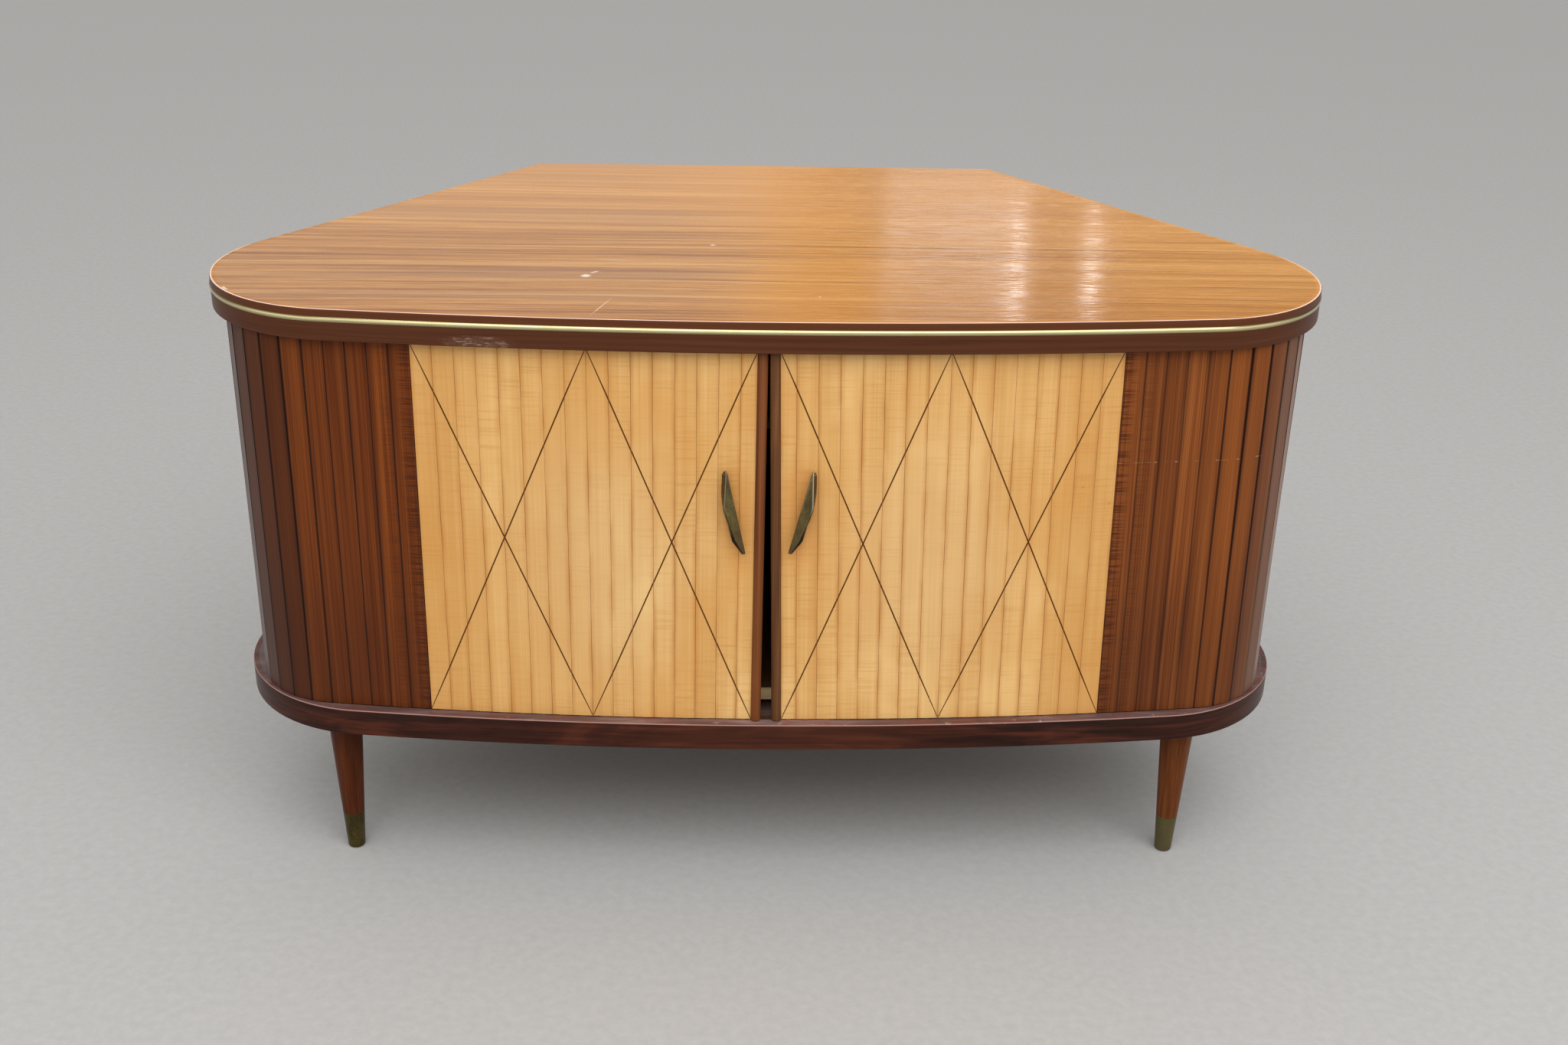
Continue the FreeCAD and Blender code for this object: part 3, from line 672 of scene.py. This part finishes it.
def inner_wood():
    f = Finish("inner_wood", Coat_Weight=0.1, Coat_Roughness=0.3)
    figure = f.noise((4.0, 160.0, 160.0), 4.0, 0.6)
    colour = f.shades(figure, 0.2, (184, 152, 104), (206, 176, 126), (218, 192, 146))
    height = f.parts(f.here)[2]
    # The top face of the inner floor painted dark: painted shade inside the cabinet
    floor_top_shade = f.times(f.ease(height, INNER_FLOOR_TOP - 0.5 * MM, INNER_FLOOR_TOP - 0.2 * MM),
                  f.ease(height, INNER_FLOOR_TOP + 0.5 * MM, INNER_FLOOR_TOP + 0.2 * MM))
    colour = f.blend(floor_top_shade, colour, tint(88, 58, 34))
    f.bump(figure, 0.05 * MM)
    return f.grained(colour, figure, 0.4, 0.55)


def backing_cloth():
    f = Finish("backing_cloth", Sheen_Weight=0.2)
    place = f.read("weave", "Vector")
    along, _, up = f.parts(place)
    weave = f.times(*(f.calc("SINE", f.times(way, 2 * math.pi / THREAD)) for way in (along, up)))
    slub = f.noise((30.0, 1.0, 400.0), 3.0, source=place)
    colour = f.ramp(slub, (0.3, tint(140, 116, 82)), (0.7, tint(172, 148, 110)))
    colour = f.blend(f.ease(weave, -0.6, 0.6, 0.0, 0.4), colour, tint(112, 90, 60))
    f.bump(weave, 0.15 * MM)
    return f.grained(colour, slub, 0.8, 0.95)


FINISHES = {make.__name__: make() for make in (
    top_veneer, top_edge_wood, base_edge_wood, base_wood, plain_steel, leg_wood, side_veneer, back_board,
    inner_wood, stile_wood, light_wood, dark_wood, inlay_wood)}
FINISHES.update(
    canvas=backing_cloth(),
    bright_brass=brass("bright_brass", tint(244, 232, 180), tint(206, 188, 122), 0.78, 0.18, 0.35,
                       grime_and_shade=tint(112, 98, 54)),
    aged_brass=brass("aged_brass", tint(112, 98, 58), tint(66, 58, 34), 0.55, 0.34,
                     lit_right=tint(130, 120, 84)),
    pull_brass=brass("pull_brass", tint(146, 132, 84), tint(94, 82, 52), 0.6, 0.24,
                     ridge_glint=tint(232, 230, 212)))


# Pieces
def show(name, data):
    obj = bpy.data.objects.new(name, data)
    bpy.context.scene.collection.objects.link(obj)
    return obj


def settle(obj, body, slot, *nodes):
    """A finished piece joins its body and hides the nodes that it stands for; its slot is not used"""
    if nodes:
        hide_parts(*nodes)
    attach(obj, body)


def coat(mesh, slot):
    mesh.materials.clear()
    mesh.materials.append(FINISHES[slot])


def body_of_node(node):
    return frame["nodes"][node]["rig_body"]


def within(value, low=0.0, high=1.0):
    return min(high, max(low, value))


@contextlib.contextmanager
def reshaped(mesh):
    """Opens a mesh for editing and writes it back"""
    shape = bmesh.new()
    shape.from_mesh(mesh)
    yield shape
    shape.to_mesh(mesh)
    shape.free()


def made_plain(obj):
    """Keeps what the modifiers of an object make as its plain mesh"""
    graph = bpy.context.evaluated_depsgraph_get()
    mesh = bpy.data.meshes.new_from_object(obj.evaluated_get(graph), preserve_all_data_layers=True,
                                           depsgraph=graph)
    obj.modifiers.clear()
    obj.data = mesh
    mesh.name = obj.name
    return mesh


def eased(node, slot, ease=0.0):
    """A finer copy of a solid: smooth over its curves, with eased edges"""
    mesh = frame["nodes"][node].data.copy()
    mesh.name = node + "_eased"
    with reshaped(mesh) as shape:
        bmesh.ops.remove_doubles(shape, verts=shape.verts, dist=MERGE_REACH)
        bmesh.ops.dissolve_limit(shape, angle_limit=FLAT_TURN, verts=shape.verts, edges=shape.edges)
        if ease:
            edges = [e for e in shape.edges
                     if len(e.link_faces) == 2 and e.calc_face_angle(0.0) > SHARP_TURN]
            bmesh.ops.bevel(shape, geom=edges, offset=ease, segments=2, profile=0.6, affect="EDGES",
                            clamp_overlap=True)
    mesh.shade_smooth()
    mesh.set_sharp_from_angle(angle=SHARP_TURN)
    coat(mesh, slot)
    settle(show(node + "_eased", mesh), body_of_node(node), slot, node)


def cast(node, slot):
    """A soft copy of a cast pull: its ridges rounded, and marked for a painted glint on its outer ridges and
    painted shade on its flanks
    """
    mesh = frame["nodes"][node].data.copy()
    with reshaped(mesh) as shape:
        bmesh.ops.remove_doubles(shape, verts=shape.verts, dist=MERGE_REACH)
    obj = show(node + "_eased", mesh)
    cells = obj.modifiers.new("cells", "REMESH")
    cells.mode = "VOXEL"
    cells.voxel_size = PULL_GRAIN
    mesh = made_plain(obj)
    with reshaped(mesh) as shape:
        ridge = shape.verts.layers.float.new("ridge")
        flank = shape.verts.layers.float.new("flank")
        before = [(v.co.copy(), v.normal.copy()) for v in shape.verts]
        for _ in range(PULL_ROUNDS):
            bmesh.ops.smooth_vert(shape, verts=shape.verts, factor=0.5, use_axis_x=True, use_axis_y=True,
                                  use_axis_z=True)
        shape.normal_update()
        for vert, (spot, normal) in zip(shape.verts, before):
            sunk = (spot - vert.co).dot(normal) / (0.5 * PULL_GRAIN)
            outward = math.copysign(1.0, vert.co.x) * vert.normal.x
            vert[ridge] = within(0.4 + 3 * outward, 0.2) * within(sunk)
            vert[flank] = within(5 * outward - 1.3)
    mesh.shade_smooth()
    coat(mesh, slot)
    settle(obj, body_of_node(node), slot, node)


# Trees: each has the sizes of the track that its pieces follow
TRACK = ("Front radius", "Corner radius", "First turn", "Arc centre")
SLAT_TRACK = dict(zip(TRACK, (LINE_FRONT_R, LINE_CORNER_R, FIRST_TURN, ARC_Y)))
EDGE_TRACK = dict(zip(TRACK, (EDGE_FRONT_R, EDGE_CORNER_R, EDGE_FIRST_TURN, ARC_Y)))


def new_tree(name, counts, sizes):
    """A Geometry Nodes tree with named inputs; gives its wiring and its inputs' sockets"""
    tree = bpy.data.node_groups.new(name, "GeometryNodeTree")
    for kind, keys in (("Int", counts), ("Float", sizes + TRACK), ("Material", ("Finish",))):
        for key in keys:
            tree.interface.new_socket(name=key, in_out="INPUT", socket_type="NodeSocket" + kind)
    tree.interface.new_socket(name="Geometry", in_out="OUTPUT", socket_type="NodeSocketGeometry")
    w = Wiring(tree)
    return w, w.add("NodeGroupInput").outputs


def close_tree(w, i, geometry):
    """Every tree ends in plain mesh with its material"""
    whole = w.add("GeometryNodeRealizeInstances", None, Geometry=geometry)
    dressed = w.add("GeometryNodeSetMaterial", None, Geometry=whole, Material=i["Finish"])
    w.add("NodeGroupOutput", None, Geometry=dressed)
    return w.tree


def grown(name, tree, values):
    """Runs a tree once and keeps its result as a plain mesh"""
    obj = show(name, bpy.data.meshes.new(name))
    shaper = obj.modifiers.new("shape", "NODES")
    shaper.node_group = tree
    names = {s.name: s.identifier for s in tree.interface.items_tree if s.in_out == "INPUT"}
    for key, value in values.items():
        shaper[names[key]] = value
    made_plain(obj)
    return obj


def keep(w, geometry, name, value, kind="FLOAT"):
    return w.add("GeometryNodeStoreNamedAttribute", {"data_type": kind, "domain": "POINT"},
                 Geometry=geometry, Name=name, Value=value)


def joined(w, parts):
    whole = w.add("GeometryNodeJoinGeometry")
    for part in parts:
        w.join(part, whole.inputs[0])
    return whole


def track_pose(w, i, place, hand):
    """Where a piece stands on its track: its point, its turn and the way along the track"""
    front_r, corner_r, first_turn, arc_y = (i[name] for name in TRACK)
    corner_start = w.times(front_r, first_turn)
    corner_length = w.times(corner_r, w.minus(END_TURN, first_turn))
    on_front = w.least(place, corner_start)
    past = w.most(w.minus(place, corner_start), 0.0)
    in_corner = w.least(past, corner_length)
    on_side = w.minus(past, in_corner)
    front_turn = w.over(on_front, front_r)
    turn = w.total(first_turn, w.over(in_corner, corner_r))
    swing_x = w.times(corner_r, w.minus(w.calc("SINE", turn), w.calc("SINE", first_turn)))
    swing_y = w.times(corner_r, w.minus(w.calc("COSINE", first_turn), w.calc("COSINE", turn)))
    x = w.total(w.times(front_r, w.calc("SINE", front_turn)), swing_x, w.times(on_side, math.cos(END_TURN)))
    y = w.total(w.minus(arc_y, w.times(front_r, w.calc("COSINE", front_turn))), swing_y,
                w.times(on_side, math.sin(END_TURN)))
    whole_turn = w.total(front_turn, w.minus(turn, first_turn))
    point = w.point(w.times(x, hand), y, 0.0)
    along = w.point(w.times(hand, w.calc("COSINE", whole_turn)), w.calc("SINE", whole_turn), 0.0)
    return point, w.times(whole_turn, hand), along


def way_out(w, along, hand):
    """The way out of a track's face"""
    across, back, _ = w.parts(along)
    return w.point(w.times(back, hand), w.times(across, hand, -1.0), 0.0)


def leaning(w, i):
    """Height and middle of a door, and how far it leans for its height"""
    height = w.minus(i["High"], i["Low"])
    middle = w.times(w.total(i["Low"], i["High"]), 0.5)
    return height, middle, w.over(i["Lean"], height)


def slat_tree():
    """Slats that stand side by side along the track, each with its tongues, its own tone and lean"""
    w, i = new_tree("tambour_slats", ("Slats", "Seed"), (
        "Hand", "First place", "First shift", "First width", "Pitch", "Width", "Thickness", "Edge round",
        "Low", "High", "Lean", "Ripple", "Flare"))
    index = w.add("GeometryNodeInputIndex").outputs[0]
    first = w.calc("LESS_THAN", index, 0.5)
    place = w.total(i["First place"], w.times(index, i["Pitch"]), w.times(first, i["First shift"]))
    point, turn, along = track_pose(w, i, place, i["Hand"])
    stand = w.add("GeometryNodeMeshLine", None, Count=i["Slats"])
    stand = w.add("GeometryNodeSetPosition", None, Geometry=stand, Position=point)
    stand = keep(w, stand, "along", along, "FLOAT_VECTOR")
    chance = w.add("FunctionNodeRandomValue", {"data_type": "FLOAT"}, ID=index, Seed=i["Seed"])
    stand = keep(w, stand, "tone", chance)

    outline = w.add("GeometryNodeCurvePrimitiveQuadrilateral", None, Width=i["Width"], Height=i["Thickness"])
    outline = w.add("GeometryNodeFilletCurve", {"mode": "POLY"}, Curve=outline, Radius=i["Edge round"],
                    Count=3)
    face = w.add("GeometryNodeFillCurve", None, Curve=outline)
    back = w.point(0.0, w.times(i["Thickness"], -0.5), i["Low"])
    face = w.add("GeometryNodeTransform", None, Geometry=face, Translation=back)
    height, middle, rate = leaning(w, i)
    sides = w.add("GeometryNodeExtrudeMesh", {"mode": "FACES"}, Mesh=face, Offset=(0.0, 0.0, 1.0),
                  Offset_Scale=height, Individual=False)
    blank = joined(w, (w.add("GeometryNodeFlipFaces", None, Mesh=face), sides))
    blank = w.add("GeometryNodeMergeByDistance", None, Geometry=blank, Distance=1e-5)
    spot = w.add("GeometryNodeInputPosition").outputs[0]
    spot_x, spot_y, spot_z = w.parts(spot)
    toward_face = w.over(spot_y, w.times(i["Thickness"], -1.0))
    spread = w.times(spot_x, w.times(i["Flare"], toward_face))
    blank = w.add("GeometryNodeSetPosition", None, Geometry=blank, Offset=w.point(spread, 0.0, 0.0))
    tongues = []
    for end, way in ((i["Low"], -0.5), (i["High"], 0.5)):
        centre = w.point(0.0, TONGUE_BACK, w.total(end, way * TONGUE[2]))
        tongues.append(w.add("GeometryNodeTransform", None, Translation=centre,
                             Geometry=w.add("GeometryNodeMeshCube", None, Size=TONGUE)))
    blank = keep(w, joined(w, [blank] + tongues), "grain", spot, "FLOAT_VECTOR")
    share = w.over(spot_x, w.times(i["Width"], 0.5))
    blank = keep(w, blank, "across", w.times(share, i["Hand"]))
    blank = keep(w, blank, "ripple", i["Ripple"])

    narrower = w.minus(w.over(i["First width"], i["Width"]), 1.0)
    narrow = w.total(1.0, w.times(first, narrower))
    spin = w.add("FunctionNodeEulerToRotation", None, Euler=w.point(0.0, 0.0, turn))
    slats = w.add("GeometryNodeInstanceOnPoints", None, Points=stand, Instance=blank, Rotation=spin,
                  Scale=w.point(narrow, 1.0, 1.0))
    slats = w.add("GeometryNodeRealizeInstances", None, Geometry=slats)
    way = w.add("GeometryNodeInputNamedAttribute", {"data_type": "FLOAT_VECTOR"}, Name="along")
    lean = w.vector("SCALE", way, w.times(w.minus(spot_z, middle), rate, -1.0))
    slats = w.add("GeometryNodeSetPosition", None, Geometry=slats, Offset=lean)
    slats = w.add("GeometryNodeSetShadeSmooth", None, Geometry=slats, Shade_Smooth=False)
    return close_tree(w, i, slats)


SLATS = slat_tree()


def slat_place(index):
    return FIRST_PLACE + SLAT_PITCH * (index + 0.5)


def slats(name, side, first, count, slot, seed, ripple=0.0, flare=0.0, first_width=SLAT_WIDTH,
          first_shift=0.0):
    return grown(name, SLATS, {
        "Slats": count, "Seed": seed, "Hand": SIDES[side], "First place": slat_place(first),
        "First shift": first_shift, "First width": first_width, "Pitch": SLAT_PITCH, "Width": SLAT_WIDTH,
        "Thickness": SLAT_THICK, "Edge round": SLAT_ROUND, "Low": SLAT_LOW, "High": SLAT_HIGH,
        "Lean": DOOR_LEAN[side], "Ripple": ripple, "Flare": flare, "Finish": FINISHES[slot], **SLAT_TRACK})


def door_slats(side):
    seed = DOOR_SEED[side]
    inner = STILE_OUTER + SLAT_JOINT
    outer = slat_place(0) + SLAT_WIDTH / 2
    light = slats(side + "_light_run", side, 0, LIGHT_SLATS, "light_wood", seed, first_width=outer - inner,
                  first_shift=0.5 * (inner + outer) - slat_place(0))
    settle(light, side + "_door_front", "light_wood", side + "_light_slats")
    for index in (*FRONT_DARK, *SIDE_DARK):
        node = side + "_dark_slat_%02d" % (index + 1)
        width = SLAT_WIDTH if index in FRONT_DARK else TRACK_WIDTH
        piece = slats(node + "_eased", side, index, 1, "dark_wood", seed + index, RIPPLED.get(index, 0.0),
                      first_width=width)
        settle(piece, body_of_node(node), "dark_wood", node)
    first = CORNER_DARK.start
    corner = slats(side + "_corner_run_slats", side, first, len(CORNER_DARK), "dark_wood", seed + first,
                   flare=CORNER_FLARE)
    settle(corner, side + "_corner_run", "dark_wood", side + "_corner_slats")
    last = slats(side + "_corner_run_last_slat", side, CORNER_LAST, 1, "dark_wood", seed + CORNER_LAST,
                 first_width=TRACK_WIDTH)
    settle(last, side + "_corner_run", "dark_wood")


def inlay_tree():
    """Two crossed pairs of thin lines, let into the light slats and cut at every joint"""
    w, i = new_tree("crossed_inlay", (), (
        "Hand", "Line width", "Proud", "Depth", "Pitch", "Width", "First place", "Stile edge", "Thickness",
        "Low", "High", "Lean", "End gap"))
    index = w.add("GeometryNodeInputIndex").outputs[0]
    odd = w.calc("MODULO", index, 2.0)
    row = w.minus(w.times(odd, 2.0), 1.0)
    column = w.calc("FLOOR", w.over(index, 2.0))
    step = w.calc("FLOOR", w.over(column, 2.0))
    end = w.minus(w.times(w.calc("MODULO", column, 2.0), 2.0), 1.0)
    reach = w.times(w.times(i["Width"], 0.5), end)
    height, middle, rate = leaning(w, i)

    def along_front(pitches):
        return w.total(i["First place"], w.times(i["Pitch"], pitches))

    lines = []
    for cross in (0, 1):
        for rise in (1.0, -1.0):
            centre = along_front(w.total(w.total(step, float(cross * INLAY_SPAN)), 0.5))
            start = along_front(float(INLAY_SPAN)) if cross else i["Stile edge"]
            start = w.total(start, i["End gap"])
            finish = w.minus(along_front(float(INLAY_SPAN * (cross + 1))), i["End gap"])
            spot = w.least(w.most(w.total(centre, reach), start), finish)
            span = w.minus(finish, start)
            share = w.over(w.minus(spot, start), span)
            slope = w.over(height, span)
            level = w.total(middle, w.times(height, rise, w.minus(share, 0.5)))
            stretch = w.calc("SQRT", w.total(w.times(slope, slope), 1.0))
            half = w.times(i["Line width"], 0.5, stretch)
            level = w.total(level, w.times(half, row))
            level = w.least(w.most(level, i["Low"]), i["High"])
            point, _, along = track_pose(w, i, centre, i["Hand"])
            slip = w.minus(w.minus(spot, centre), w.times(rate, w.minus(level, middle)))
            proud = w.vector("SCALE", way_out(w, along, i["Hand"]), w.total(i["Thickness"], i["Proud"]))
            place = w.vector("ADD", w.vector("ADD", point, w.vector("SCALE", along, slip)), proud)
            place = w.vector("ADD", place, w.point(0.0, 0.0, level))
            strip = w.add("GeometryNodeMeshGrid", None, Vertices_X=2 * INLAY_SPAN, Vertices_Y=2)
            strip = w.add("GeometryNodeSetPosition", None, Geometry=strip, Position=place)
            joint = w.calc("GREATER_THAN", odd, 0.5)
            lines.append(w.add("GeometryNodeDeleteGeometry", {"domain": "FACE"}, Geometry=strip,
                               Selection=joint))
    lines = joined(w, lines)
    skin = w.add("GeometryNodeExtrudeMesh", {"mode": "FACES"}, Mesh=lines,
                 Offset_Scale=w.times(i["Depth"], i["Hand"]), Individual=False)
    whole = joined(w, (skin, w.add("GeometryNodeFlipFaces", None, Mesh=lines)))
    whole = w.add("GeometryNodeMergeByDistance", None, Geometry=whole, Distance=1e-6)
    whole = w.add("GeometryNodeSetShadeSmooth", None, Geometry=whole, Shade_Smooth=False)
    return close_tree(w, i, whole)


INLAY = inlay_tree()


def turned_out(obj):
    """Turns every face of a piece outwards"""
    with reshaped(obj.data) as shape:
        bmesh.ops.recalc_face_normals(shape, faces=shape.faces)


def door_inlay(side):
    lines = grown(side + "_inlay_lines", INLAY, {
        "Hand": SIDES[side], "Line width": INLAY_WIDTH, "Proud": INLAY_PROUD - INLAY_THICK,
        "Depth": INLAY_THICK, "Pitch": SLAT_PITCH, "Width": INLAY_SLAT_WIDTH, "First place": FIRST_PLACE,
        "Stile edge": STILE_OUTER + SLAT_JOINT, "Thickness": SLAT_THICK, "Low": SLAT_LOW, "High": SLAT_HIGH,
        "Lean": DOOR_LEAN[side], "End gap": INLAY_END_GAP, "Finish": FINISHES["inlay_wood"], **SLAT_TRACK})
    turned_out(lines)
    settle(lines, side + "_door_front", "dark_wood")


def door_cloth(side):
    """Woven backing glued across the slats that stay on the front"""
    hand = SIDES[side]
    start = slat_place(0)
    end = slat_place(LIGHT_SLATS) + 0.5 * TRACK_WIDTH - DOOR_LEAN[side]
    low, high = SLAT_LOW + CLOTH_MARGIN, SLAT_HIGH - CLOTH_MARGIN
    columns, rows = CLOTH_STEPS
    points, marks, faces = [], [], []
    for c in range(columns + 1):
        s = start + (end - start) * c / columns
        turn = s / LINE_FRONT_R
        for r in range(rows + 1):
            z = low + (high - low) * r / rows
            points.append((hand * CLOTH_R * math.sin(turn), ARC_Y - CLOTH_R * math.cos(turn), z))
            marks.append((s, 0.0, z))
    for c in range(columns):
        for r in range(rows):
            a = c * (rows + 1) + r
            b = a + rows + 1
            faces.append((a, b, b + 1, a + 1) if hand > 0 else (a, a + 1, b + 1, b))
    mesh = bpy.data.meshes.new(side + "_backing_cloth")
    mesh.from_pydata(points, [], faces)
    weave = mesh.attributes.new("weave", "FLOAT_VECTOR", "POINT")
    for value, mark in zip(weave.data, marks):
        value.vector = mark
    coat(mesh, "canvas")
    cloth = show(side + "_backing_cloth", mesh)
    body = cloth.modifiers.new("thickness", "SOLIDIFY")
    body.thickness = CLOTH_THICK
    body.offset = 0.0
    settle(cloth, side + "_door_front", "canvas", side + "_canvas")


def strip_tree():
    """A strip with a crowned face that runs round the front and the sides of the top"""
    w, i = new_tree("edge_strip", ("Steps",), ("Run", "Half height", "Proud", "Depth", "Level"))
    around = STRIP_CROWN + 4
    index = w.add("GeometryNodeInputIndex").outputs[0]
    ring = w.calc("FLOOR", w.over(index, float(around)))
    spot = w.calc("MODULO", w.calc("MODULO", index, float(around)), float(around - 1))
    last = w.minus(i["Steps"], 1.0)
    share = w.over(w.minus(ring, 1.0), w.minus(last, 2.0))
    share = w.least(w.most(share, 0.0), 1.0)
    place = w.times(i["Run"], w.minus(w.times(share, 2.0), 1.0))
    hand = w.minus(1.0, w.times(w.calc("LESS_THAN", place, 0.0), 2.0))
    point, _, along = track_pose(w, i, w.calc("ABSOLUTE", place), hand)

    square = w.total(w.times(i["Half height"], i["Half height"]), w.times(i["Proud"], i["Proud"]))
    radius = w.over(square, w.times(i["Proud"], 2.0))
    widest = w.calc("ARCSINE", w.over(i["Half height"], radius))
    turn = w.times(widest, w.minus(w.over(spot, 0.5 * STRIP_CROWN), 1.0))
    crown_out = w.total(w.times(radius, w.minus(w.calc("COSINE", turn), 1.0)), i["Proud"])
    crown_up = w.times(radius, w.calc("SINE", turn))
    at_back = w.calc("GREATER_THAN", spot, STRIP_CROWN + 0.5)
    upper = w.minus(1.0, w.times(w.calc("GREATER_THAN", spot, STRIP_CROWN + 1.5), 2.0))
    back_up = w.times(i["Half height"], upper)

    def either(front, back):
        return w.total(front, w.times(at_back, w.minus(back, front)))

    full = w.times(w.calc("GREATER_THAN", ring, 0.5), w.calc("LESS_THAN", ring, w.minus(last, 0.5)))
    reach = w.times(either(crown_out, w.times(i["Depth"], -1.0)), full)
    rise = w.times(either(crown_up, back_up), full)
    position = w.vector("ADD", point, w.vector("SCALE", way_out(w, along, hand), reach))
    position = w.vector("ADD", position, w.point(0.0, 0.0, w.total(i["Level"], rise)))
    skin = w.add("GeometryNodeMeshGrid", None, Vertices_X=i["Steps"], Vertices_Y=around)
    skin = w.add("GeometryNodeSetPosition", None, Geometry=skin, Position=position)
    skin = w.add("GeometryNodeMergeByDistance", None, Geometry=skin, Distance=1e-6)
    return close_tree(w, i, skin)


def edge_strip():
    corner_end_y = EDGE_CENTRE_Y - EDGE_CORNER_R * math.cos(END_TURN)
    end_y = BACK_Y + STRIP_PROUD * math.cos(END_TURN)
    run = (EDGE_FRONT_R * EDGE_FIRST_TURN + EDGE_CORNER_R * (END_TURN - EDGE_FIRST_TURN)
           + (end_y - corner_end_y) / math.sin(END_TURN))
    strip = grown("brass_edge_strip_crowned", strip_tree(), {
        "Steps": STRIP_STEPS, "Run": run, "Half height": STRIP_HALF_HEIGHT, "Proud": STRIP_PROUD,
        "Depth": STRIP_DEPTH, "Level": STRIP_LEVEL, "Finish": FINISHES["bright_brass"], **EDGE_TRACK})
    turned_out(strip)
    strip.data.shade_smooth()
    strip.data.set_sharp_from_angle(angle=STRIP_SHARP)
    settle(strip, "carcass", "bright_brass", "brass_edge_strip")


for side in SIDES:
    door_slats(side)
    door_inlay(side)
    door_cloth(side)
    eased(side + "_stile", "stile_wood", STILE_EASE)
    cast(side + "_pull", "pull_brass")

# Solids that keep their own shape
for slot, nodes in (
        ("top_veneer", ("top_board",)),
        ("base_wood", ("base_board",)),
        ("back_board", ("back_panel",)),
        ("side_veneer", ("side_panel_left", "side_panel_right")),
        ("inner_wood", ("inner_wall_left", "inner_wall_right", "inner_floor", "floor_bearers", "shelf",
                        "shelf_cleat_left", "shelf_cleat_right")),
        ("plain_steel", ("leg_plates", "leg_plate_screws", "leg_studs")),
        ("aged_brass", ("right_pull_screws", "left_pull_screws"))):
    for node in nodes:
        coat(frame["nodes"][node].data, slot)

eased("top_lipping", "top_edge_wood")
eased("base_lipping", "base_edge_wood")
edge_strip()
for place in ("front_left", "front_right", "rear_left", "rear_right"):
    eased("leg_" + place, "leg_wood")
    eased("ferrule_" + place, "aged_brass")


# Stage, light and camera
def floor(reach):
    corners = [(-reach, -reach, 0), (reach, -reach, 0), (reach, reach, 0), (-reach, reach, 0)]
    mesh = bpy.data.meshes.new("floor")
    mesh.from_pydata(corners, [], [(0, 1, 2, 3)])
    f = Finish("pale_floor")
    grit = f.noise((90.0, 90.0, 90.0), 4.0, 0.6)
    colour = f.ramp(grit, (0.3, tint(168, 167, 166)), (0.7, tint(176, 175, 174)))
    mesh.materials.append(f.done(colour, 0.9))
    show("floor", mesh)


def soft_light(name, place, aim, size, power):
    lamp = bpy.data.lights.new(name, "AREA")
    lamp.shape = "RECTANGLE"
    lamp.size, lamp.size_y = size
    lamp.energy = power
    obj = show(name, lamp)
    obj.location = place
    obj.rotation_euler = (Vector(aim) - Vector(place)).to_track_quat("-Z", "Y").to_euler()
    obj.visible_camera = False


def sky(overhead, horizon, behind_left, behind_right):
    """An even room, brightest overhead; low down behind, its left half is brighter than its right"""
    world = bpy.data.worlds.new("soft_room")
    world.use_nodes = True
    w = Wiring(world.node_tree)
    w.tree.nodes.clear()
    side, deep, high = w.parts(w.add("ShaderNodeTexCoord").outputs["Generated"])
    low_back = w.ease(high, 0.1, 0.2, horizon, w.ease(side, -0.01, 0.05, behind_left, behind_right))
    back = w.ease(high, 0.32, 0.9, low_back, overhead)
    front = w.ease(high, 0.0, 0.2, horizon, 0.9 * overhead)
    glow = w.add("ShaderNodeBackground", None, Color=(1.0, 0.99, 0.97, 1.0),
                 Strength=w.ease(deep, -0.3, 0.3, front, back))
    end = w.add("ShaderNodeOutputWorld")
    w.tree.links.new(glow.outputs[0], end.inputs["Surface"])
    bpy.context.scene.world = world


def camera(yaw, pitch, roll):
    ahead = Vector((math.sin(yaw) * math.cos(pitch), math.cos(yaw) * math.cos(pitch), -math.sin(pitch)))
    level = Vector((math.cos(yaw), -math.sin(yaw), 0.0))
    upright = level.cross(ahead)
    right = math.cos(roll) * level + math.sin(roll) * upright
    up = math.cos(roll) * upright - math.sin(roll) * level
    lens = bpy.data.cameras.new("camera")
    lens.sensor_width = SENSOR_WIDTH
    lens.lens = CAMERA_LENS
    obj = show("camera", lens)
    axes = Matrix((right, up, -ahead)).transposed()
    obj.matrix_world = Matrix.Translation(CAMERA_PLACE) @ axes.to_4x4()
    bpy.context.scene.camera = obj


floor(reach=40.0)
sky(overhead=1.1, horizon=0.4, behind_left=0.45, behind_right=0.16)
for lamp in LAMPS:
    soft_light(*lamp)
camera(*CAMERA_TURNS)
bpy.context.scene.view_settings.view_transform = "Standard"
